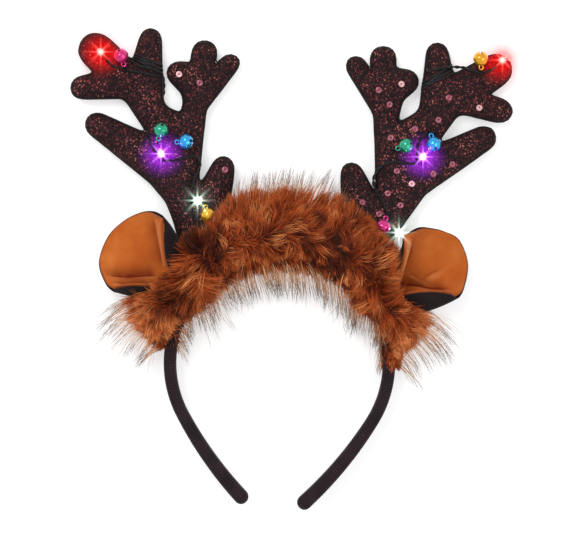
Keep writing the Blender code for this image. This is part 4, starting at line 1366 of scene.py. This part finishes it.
def furPlace(at, around, share):
    # places in the fur and the ways out of it, from degrees round the crown, turn round the section and
    # share of the way out
    lean, inner, outer, front = furColumns(at)
    angle, turn = np.radians(at), np.radians(at + lean)
    zero = np.zeros_like(turn)
    centre = np.stack([np.sin(angle), np.cos(angle), zero], -1) * bandShape["radius"] * mm + np.array(head)
    outward = np.stack([np.sin(turn), np.cos(turn), zero], -1)
    inner = inner * furShape["inner"] * mm
    outer = outer * furShape["outer"] * mm
    front = front * furShape["front"] * mm
    back = np.minimum(head.z, front)
    core = (outer - inner) / 2 * 0.8
    across = (outer - inner) / 2 + (outer + inner) / 2 * np.cos(around)
    lift = np.sin(around)
    height = np.where(lift > 0, front * lift, np.maximum(-back, back * furShape["flat"] * lift))
    middle = centre + outward * core[..., None]
    surface = centre + outward * across[..., None]
    surface[..., 2] += height
    return middle + (surface - middle) * share, unit(surface - middle)


def skinMesh():
    # a sleeve of sections bridged together
    bm = bmesh.new()
    sides = 24
    around = np.linspace(0, math.tau, sides + 1)[:-1]
    loops = []
    for at in np.linspace(*furShape["skinEnds"], 42):
        ring = bmesh.ops.create_circle(bm, segments=sides, radius=1)["verts"]
        places, _ = furPlace(np.full(sides, at), around, furShape["skin"])
        for vertex, place in zip(ring, places):
            vertex.co = place
        loops.append(list({edge for vertex in ring for edge in vertex.link_edges}))
        if len(loops) > 1:
            bmesh.ops.bridge_loops(bm, edges=loops[-2] + loops[-1])
    bmesh.ops.holes_fill(bm, edges=[edge for edge in bm.edges if edge.is_boundary])
    return toMesh(bm, "fur skin")


def scatterRoots(count, shuffle, kind):
    # more roots where the sleeve is larger and where it can be seen; guard hairs stand round its outline
    at = np.linspace(*furShape["ends"], 200)
    around = np.linspace(0, math.tau, 73)[:-1]
    atGrid, aroundGrid = np.meshgrid(at, around, indexing="ij")
    places, _ = furPlace(atGrid, aroundGrid, 1.0)
    stepAt = np.linalg.norm(np.gradient(places, axis=0), axis=-1)
    stepAround = np.linalg.norm(np.gradient(places, axis=1), axis=-1)
    lift = np.sin(aroundGrid)
    seen = np.where(lift < -0.75, 0.25, np.where(lift > -0.2, 1.0, 0.6))
    if kind == "guard":
        seen = np.exp(-(((lift - 0.05) / 0.3) ** 2)) * np.where(np.cos(aroundGrid) < 0, 1.3, 1.0)
    if kind == "lap":
        seen = np.interp(
            atGrid, [-65, -60, -53, -50, -40, -35, 38, 44, 60, 65], [0, 1, 1, 3, 3, 0, 0, 1, 1, 0]
        )
        seen = seen * (lift > 0.35) * (np.cos(aroundGrid) > -0.5) + 1e-9
    weight = (stepAt * stepAround * seen).ravel()
    chosen = shuffle.choice(len(weight), count, p=weight / weight.sum())
    jitter = shuffle.uniform(-0.5, 0.5, (2, count))
    atChosen = atGrid.ravel()[chosen] + jitter[0] * (at[1] - at[0])
    return atChosen, aroundGrid.ravel()[chosen] + jitter[1] * (around[1] - around[0])


def pileFlow(roots, at, around, kind):
    # the way the pile is combed: up over the crown, down on its inner side, fanned out below the ears
    count = len(roots)
    out = np.cos(around)
    crownUp = unit(np.array([0.30, 1.0, 0.0]))
    innerDown = unit(
        np.stack([np.interp(at, [-50, 0, 50], [0.25, 0.5, 1.15]), np.full(count, -1.0), np.zeros(count)], -1)
    )
    fanFrom = np.array([0.052, 0.024])
    away = roots[:, :2] - np.stack([np.sign(at) * fanFrom[0], np.full(count, fanFrom[1])], -1)
    fan = unit(np.concatenate([away, np.zeros((count, 1))], -1))
    tuft = ease(np.abs(at), 44, 58)[:, None]
    outer = unit(crownUp * (1 - tuft) + fan * tuft)
    # down the legs at the trim's two ends
    leg = ease(np.abs(at), 74, 86)[:, None]
    down = unit(np.stack([np.sign(at) * 0.5, np.full(count, -1.0), np.zeros(count)], -1))
    outer = unit(outer * (1 - leg) + down * leg)
    inner = unit(innerDown * (1 - leg * 0.5) + down * leg * 0.5)
    # over the ears' roots the pile lies towards the ears
    earWay = unit(
        np.stack(
            [np.sign(at) * 1.0, np.interp(np.abs(at), [40, 50, 64], [0.6, 0.2, -0.5]), np.zeros(count)], -1
        )
    )
    byEar = (ease(np.abs(at), 36, 46) * (1 - ease(np.abs(at), 60, 68)) * ease(out, -0.4, 0.3))[:, None]
    if kind == "lap":
        return earWay
    outer = unit(outer * (1 - byEar) + earWay * byEar)
    share = ease(out, -0.55, 0.35)[:, None]
    return inner * (1 - share) + outer * share


def turned(vectors, axes, angles):
    # vectors turned about axes by angles
    cos, sin = np.cos(angles)[:, None], np.sin(angles)[:, None]
    kept = axes * (axes * vectors).sum(-1, keepdims=True)
    return vectors * cos + np.cross(axes, vectors) * sin + kept * (1 - cos)


def hairPaths(at, around, length, kind, shuffle, wild):
    # each hair runs from its root off the skin and along the pile, then curves over to one side
    coat = furCoats[kind]
    steps = coat["segments"]
    roots, radial = furPlace(at, around, coat["root"])
    count = len(roots)
    facing = np.clip(radial[:, 2], 0, 1)  # 1 where the skin faces forward
    flow = pileFlow(roots, at, around, kind)
    swirl = softNoise(roots, 13 * mm, 11) * 1.5 + shuffle.normal(0, wild, count)
    swirl *= 0.35 + 0.65 * ease(facing, 0.2, 0.8)
    # calm over the top of the crown, tousled towards the ears
    swirl *= np.interp(at, [-60, -28, -15, 5, 20, 60], [1.25, 1.25, 0.6, 0.6, 1.15, 1.15])
    up = np.tile([0.0, 0.0, 1.0], (count, 1))
    flow = turned(unit(flow), up, swirl)
    rise = coat["rise"] * (1 - 0.35 * facing)
    way = unit(
        radial * rise[:, None] + flow * (1 - 0.35 * rise)[:, None] + shuffle.normal(0, 0.10, (count, 3))
    )
    curl = np.radians(coat["turn"]) * (softNoise(roots, 7 * mm, 12) * 0.9 + shuffle.normal(0, 0.45, count))
    later = turned(way, up, curl)
    later[:, 2] -= (0.1 if kind == "lap" else 0.55) * facing
    later[:, 1] -= 0.7 * ease(np.abs(at), 52, 62) * (kind != "lap")  # the long tufts below the ears hang over
    later = unit(later)
    share = np.linspace(0, 1, steps + 1)[None, :, None]
    paths = roots[:, None] + length[:, None, None] * (
        way[:, None] * (share - share * share / 2) + later[:, None] * share * share / 2
    )
    swing = unit(np.cross(way, shuffle.normal(0, 1, (count, 3))))
    phase = shuffle.uniform(0, math.tau, (count, 1, 1))
    wave = np.sin(share * 4.5 + phase) - np.sin(phase)
    return paths + swing[:, None] * wave * share * coat["wave"] * mm * 0.5


def nodeTree(names):
    joined = bmesh.new()
    for name in names:
        joined.from_mesh(nodes[name].data)
    tree = BVHTree.FromBMesh(joined)
    joined.free()
    return tree


def firstCrossing(values, limit):
    # the share of each hair at which its values first pass the limit, or 1
    steps = values.shape[1] - 1
    over = values > limit
    step = np.maximum(over.argmax(axis=1), 1)
    rows = np.arange(len(values))
    before, after = values[rows, step - 1], values[rows, step]
    part = np.clip((limit[:, 0] - before) / np.maximum(after - before, 1e-9), 0, 1)
    return np.where(over[:, 0], 0, np.where(over.any(axis=1), (step - 1 + part) / steps, 1.0))


def stopAtNeighbours(paths, kind, shuffle):
    # hairs in front of an antler end where its cloth begins to show, and those over an ear at its lip
    count, places = paths.shape[:2]
    share = np.linspace(0, 1, places)
    cut = np.ones(count)
    for front in furFronts.values():
        line = np.array(front, float) * mm
        beyond = (paths[..., 1] - np.interp(paths[..., 0], line[:, 0], line[:, 1])) / mm
        inFront = (paths[..., 0] > line[0, 0]) & (paths[..., 0] < line[-1, 0]) & (paths[..., 2] > 12 * mm)
        cut = np.minimum(
            cut, firstCrossing(np.where(inFront, beyond, -99.0), shuffle.uniform(-0.5, 4.0, (count, 1)))
        )
    for word, side in sides:
        beside = besideLine(paths.reshape(-1, 3), furBesideEars[word])[0].reshape(count, places) * side
        stray = 4 * (shuffle.random((count, 1)) < 0.04)
        cut = np.minimum(cut, firstCrossing(beside, shuffle.uniform(-1.5, 1.5, (count, 1)) + stray))
    (x0, y0), (x1, y1) = np.array(furSlant) * mm
    off = (paths[..., 0] - x0) * (y0 - y1) + (paths[..., 1] - y0) * (x1 - x0)
    slant = (off > 0) & (paths[..., 1] < y0) & (paths[..., 0] < -50 * mm) & (paths[..., 2] > 4 * mm)
    keep = (cut > 0.2) & (
        (slant.sum(axis=1) < 2) | (shuffle.random(count) < (0.5 if kind == "guard" else 0.03))
    )
    place = cut[:, None] * share[None, :] * (places - 1)
    low = np.minimum(place.astype(int), places - 2)
    part = (place - low)[..., None]
    rows = np.arange(count)[:, None]
    return paths[rows, low] * (1 - part) + paths[rows, low + 1] * part, keep


def layOnObstacles(paths, tree):
    # lifts hairs off what they meet, drops those that start inside it, and keeps all above the floor
    keep = np.ones(len(paths), bool)
    for index, path in enumerate(paths):
        for step, place in enumerate(path):
            if place[2] > 0.036:
                continue
            nearest, normal, _, reach = tree.find_nearest(Vector(place), 3 * mm)
            if nearest is None:
                continue
            inside = (Vector(place) - nearest).dot(normal) < 0
            if step == 0 and inside:
                keep[index] = False
                break
            if inside or reach < 0.4 * mm:
                path[step:] += np.array(nearest + normal * 0.5 * mm) - place
    paths[..., 2] = np.maximum(paths[..., 2], 0.4 * mm)
    return keep


def hairTemplate(segments):
    # a flat hair with a pointed tip: how far across and along each corner is, and its faces
    bm = bmesh.new()
    bmesh.ops.create_grid(bm, x_segments=1, y_segments=segments, size=1)
    tip = [v for v in bm.verts if v.co.y > 0.99]
    bmesh.ops.pointmerge(bm, verts=tip, merge_co=(0, 1, 0))
    bm.verts.index_update()
    across = np.array([v.co.x for v in bm.verts])
    along = np.array([(v.co.y + 1) / 2 for v in bm.verts])
    faces = [[v.index for v in face.verts] for face in bm.faces]
    bm.free()
    return across, along, faces


def hairColours(places, along, shuffle, kind, tuftTone):
    # dark root, rust middle, golden tip, changed by patches and from tuft to tuft
    count, corners = places.shape[:2]
    tone = {key: np.array(linear(code)[:3]) for key, code in furColours.items()}
    base = places.mean(axis=1)
    shift = tuftTone.copy()
    for x, y, reach, amount in furPatches:
        gap = np.hypot(base[:, 0] - x * mm, base[:, 1] - y * mm)
        shift += amount * np.exp(-((gap / (reach * mm)) ** 2))
    shift += softNoise(base, 9 * mm, 31) * 0.35 + shuffle.normal(0, 0.14, count)
    dark = np.clip(shift, 0, 1)[:, None, None]
    gold = np.clip(-shift * 1.1 - 0.18, 0, 1)[:, None, None]
    share = along[None, :, None]
    colour = tone["root"] + (tone["mid"] - tone["root"]) * ease(share, 0.08, 0.55)
    gold = gold * (0.5 if kind == "down" else 1)
    end = tone["tip"] + (tone["gold"] - tone["tip"]) * gold
    most = 0.45 if kind == "down" else 0.9
    colour = colour + (end - colour) * ease(share, 0.4 - 0.2 * gold, 1.0 - 0.25 * gold) * most
    colour = colour + (tone["dark"] - colour) * dark * 0.9
    if kind == "guard":
        colour = tone["guardMid"] + (tone["guardTip"] - tone["guardMid"]) * ease(share, 0.45, 0.8)
    colour = colour * (1 + shuffle.normal(0, 0.14, (count, 1, 1)))
    return np.concatenate([np.clip(colour, 0.002, 1), np.ones((count, corners, 1))], -1)


def growCoat(kind, coat, seed):
    shuffle = np.random.default_rng(seed)
    count = coat["hairs"] // 1
    steps = coat["segments"]
    at, around = scatterRoots(count, shuffle, kind)
    length = shuffle.uniform(*coat["long"], count) * mm
    # shorter on the inner side and at the ends of the trim
    size = np.interp(at, [-84, -76, -68, 70, 80, 89], [0.45, 0.7, 1, 0.95, 0.55, 0.35])
    size *= 1 - 0.35 * ease(-np.cos(around), 0.1, 0.6) * (kind != "guard")
    if kind == "guard":
        outer = 1 + 0.3 * ease(np.abs(at), 54, 62) - 0.4 * ease(np.abs(at), 68, 82)
        size = np.where(np.cos(around) > -0.2, outer, np.interp(np.abs(at), [48, 74], [1, 0.4]))
    if kind == "lap":
        size *= np.interp(at, [-56, -50], [1.0, 1.3]) * (at < 0) + (at > 0)
    size *= 1 + 0.4 * np.interp(np.abs(at), [36, 44, 58, 66], [0, 1, 1, 0]) * (np.sin(around) > 0.3)
    length *= size * (1 + 0.25 * softNoise(np.stack([at, around * 20, at * 0], -1), 9, seed))
    paths = hairPaths(at, around, length, kind, shuffle, 0.3)
    # tufts: hairs run together with the tuft that they stand in
    tuftAt, tuftAround = scatterRoots(coat["tufts"], shuffle, kind)
    tuftLength = np.full(coat["tufts"], np.mean(coat["long"]) * 1.02) * mm
    tufts = hairPaths(tuftAt, tuftAround, tuftLength, kind, shuffle, 0.6)
    tuftShade = shuffle.normal(0, 0.2 if kind == "down" else 0.55, coat["tufts"])
    # the crown's outer side is combed even
    tuftShade *= 1 - 0.6 * ease(np.cos(tuftAround), 0.25, 0.75) * (1 - ease(np.abs(tuftAt), 36, 48))
    finder = KDTree(len(tufts))
    for index, tuft in enumerate(tufts):
        finder.insert(tuft[0], index)
    finder.balance()
    nearest = np.array([finder.find(path[0])[1] for path in paths])
    share = np.linspace(0, 1, steps + 1)[None, :, None]
    pull = np.clip(coat["pull"] * shuffle.uniform(0.6, 1.1, (count, 1, 1)), 0, 0.97)
    joined = tufts[nearest] - tufts[nearest][:, :1]
    joined = joined * (length / tuftLength[nearest])[:, None, None] + paths[:, :1]
    joined = joined + (tufts[nearest][:, :1] - paths[:, :1]) * share * 0.9
    paths = paths + (joined - paths) * pull * share ** 0.5
    if kind == "guard":
        # the long hairs of the two tufts arch downwards
        droop = np.where(at < 0, 0.16, 0.25) * ease(np.abs(at), 50, 60)
        paths[..., 1] -= (droop * length)[:, None] * share[..., 0] ** 2
    paths, keep = stopAtNeighbours(paths, kind, shuffle)
    paths, shades = paths[keep], tuftShade[nearest][keep]
    keep = layOnObstacles(paths, obstacles)
    paths, shades = paths[keep], shades[keep]
    count = len(paths)
    across, alongShare, faces = hairTemplate(steps)
    place = alongShare * steps
    first = np.minimum(place.astype(int), steps - 1)
    part = (place - first)[None, :, None]
    middle = paths[:, first] * (1 - part) + paths[:, first + 1] * part
    run = unit(paths[:, first + 1] - paths[:, first])
    sideways = unit(np.cross(run, shuffle.normal(0, 1, (count, 1, 3))))
    taper = (1 - 0.75 * alongShare ** 2)[None, :, None]
    wide = coat["wide"] * mm / 2 * shuffle.uniform(0.7, 1.25, (count, 1, 1)) * taper
    corners = middle + sideways * wide * across[None, :, None]
    colours = hairColours(middle, alongShare, shuffle, kind, shades)
    offsets = (np.arange(count) * len(across)).tolist()
    polygons = [[corner + offset for corner in face] for offset in offsets for face in faces]
    mesh = bpy.data.meshes.new("fur " + kind)
    mesh.from_pydata(corners.reshape(-1, 3), [], polygons)
    setPointColours(mesh, "hairShade", colours)
    mesh.shade_smooth()
    return mesh


def hairMaterial():
    # dyed faux fur: dark at the skin, rust in the middle and golden at the tips, with a soft silky shine.
    # A hair is 0.05 mm, drawn at 0.3 to 0.4 mm so that it shows.
    material, tree, shader = startMaterial(
        "rust dyed fur pile", {"Roughness": 0.6, "Specular IOR Level": 0.2}
    )
    shade = addNode(tree, "ShaderNodeAttribute", {"attribute_name": "hairShade"})
    place = addNode(tree, "ShaderNodeTexCoord", {}).outputs["Object"]
    lock = addNode(tree, "ShaderNodeTexNoise", {"Scale": 1 / (3 * mm), "Detail": 2.0}, {"Vector": place})
    tone = addNode(tree, "ShaderNodeMapRange", {1: 0.3, 2: 0.7, 3: 0.85, 4: 1.25}, {0: lock.outputs["Fac"]})
    mixed = addNode(
        tree, "ShaderNodeMix", {"data_type": "RGBA", "blend_type": "MULTIPLY", 0: 1},
        {6: shade.outputs["Color"], 7: tone.outputs[0]},
    )
    tree.links.new(mixed.outputs[2], shader.inputs["Base Color"])
    return material


def skinMaterial():
    # knitted backing of the fur: dark and matt, seen only where the pile parts
    material, tree, shader = startMaterial("fur backing knit", {"Roughness": 0.95, "Specular IOR Level": 0.1})
    place = addNode(tree, "ShaderNodeTexCoord", {}).outputs["Object"]
    loops = addNode(tree, "ShaderNodeTexVoronoi", {"Scale": 1 / (1.5 * mm)}, {"Vector": place})
    shade = addNode(tree, "ShaderNodeValToRGB", {}, {"Fac": loops.outputs["Distance"]})
    setRamp(shade, [(0, "#1a0a07"), (1, "#4a1e0e")])
    tree.links.new(shade.outputs[0], shader.inputs["Base Color"])
    bump = addNode(
        tree, "ShaderNodeBump", {"Strength": 0.6, "Distance": 0.4 * mm}, {"Height": loops.outputs["Distance"]}
    )
    tree.links.new(bump.outputs[0], shader.inputs["Normal"])
    return material


addPiece("fur_skin", skinMesh(), skinMaterial(), ["fur_trim"])
pile = hairMaterial()
obstacles = nodeTree([name for name in nodes if name.startswith(("antler", "ear", "bell", "led"))])
for kind, coat in furCoats.items():
    for number in range(coat["pieces"]):
        mesh = growCoat(kind, coat, 40 + 7 * number + len(kind))
        addPiece(f"fur_{kind}_{number + 1}", mesh, pile)
        print("fur", kind, number + 1, len(mesh.polygons), "faces")

# Floor and light
studio = {"floor": 0.75, "floorGlow": 0.45, "sky": 0.75, "key": 9.0, "fill": 4.0}

bm = bmesh.new()
bmesh.ops.create_grid(bm, x_segments=1, y_segments=1, size=3)
floorMesh = toMesh(bm, "floor")
floorMaterial, tree, shader = startMaterial(
    "pale floor", {"Base Color": [studio["floor"]] * 3 + [1], "Roughness": 0.9}
)
shader.inputs["Emission Color"].default_value = (1, 1, 1, 1)
shader.inputs["Emission Strength"].default_value = studio["floorGlow"]
floor = bpy.data.objects.new("floor", floorMesh)
bpy.context.collection.objects.link(floor)
floorMesh.materials.append(floorMaterial)

world = bpy.data.worlds.new("studio")
bpy.context.scene.world = world
world.use_nodes = True
world.node_tree.nodes["Background"].inputs["Color"].default_value = (1, 1, 1, 1)
world.node_tree.nodes["Background"].inputs["Strength"].default_value = studio["sky"]
for name, energy, place, size in (
    ("key", studio["key"], (-0.6, 0.7, 1.3), 0.7),
    ("fill", studio["fill"], (0.9, -0.3, 1.1), 0.9),
):
    light = bpy.data.lights.new(name, "AREA")
    light.energy = energy
    light.size = size
    lightObject = bpy.data.objects.new(name, light)
    lightObject.location = place
    lightObject.rotation_euler = (-Vector(place)).to_track_quat("-Z", "Y").to_euler()
    bpy.context.collection.objects.link(lightObject)

# Star flares round the lit bulbs
scene = bpy.context.scene
scene.view_settings.view_transform = "Standard"
scene.use_nodes = True
flares = scene.node_tree
flares.nodes.clear()
glare = {"quality": "HIGH", "Threshold": 8.0, "Clamp": True}
layers = addNode(flares, "CompositorNodeRLayers", {})
lit = layers.outputs["Image"]
for turn, fade, strength in ((0, 0.73, 1.0), (45, 0.66, 1.0)):
    star = addNode(
        flares,
        "CompositorNodeGlare",
        {
            "glare_type": "STREAKS", **glare, "Maximum": 60.0,
            "Strength": strength, "Streaks": 4, "Streaks Angle": math.radians(turn), "Fade": fade,
            "Iterations": 3, "Color Modulation": 0.0,
        },
        {"Image": lit},
    )
    lit = star.outputs["Image"]
halo = addNode(
    flares,
    "CompositorNodeGlare",
    {"glare_type": "FOG_GLOW", **glare, "Maximum": 20.0, "Strength": 0.1, "Size": 0.1},
    {"Image": lit},
)
# a red haze over the pale floor round the red bulbs
haze = addNode(
    flares,
    "CompositorNodeGlare",
    {"glare_type": "FOG_GLOW", **glare, "Maximum": 60.0, "Strength": 1.0, "Size": 0.25},
    {"Image": layers.outputs["Image"]},
)
parts = addNode(flares, "CompositorNodeSeparateColor", {}, {"Image": haze.outputs["Glare"]})
redder = addNode(
    flares, "CompositorNodeMath", {"operation": "SUBTRACT", "use_clamp": True},
    {0: parts.outputs[0], 1: parts.outputs[2]},
)
softer = addNode(flares, "CompositorNodeMath", {"operation": "POWER", 1: 0.6}, {0: redder.outputs[0]})
spread = addNode(
    flares, "CompositorNodeMath", {"operation": "MULTIPLY", "use_clamp": True, 1: 7.0}, {0: softer.outputs[0]}
)
tinted = addNode(
    flares, "CompositorNodeMixRGB", {"blend_type": "MULTIPLY", 2: (1.0, 0.35, 0.35, 1)},
    {0: spread.outputs[0], 1: halo.outputs["Image"]},
)
addNode(flares, "CompositorNodeComposite", {}, {"Image": tinted.outputs[0]})

print("dressed")
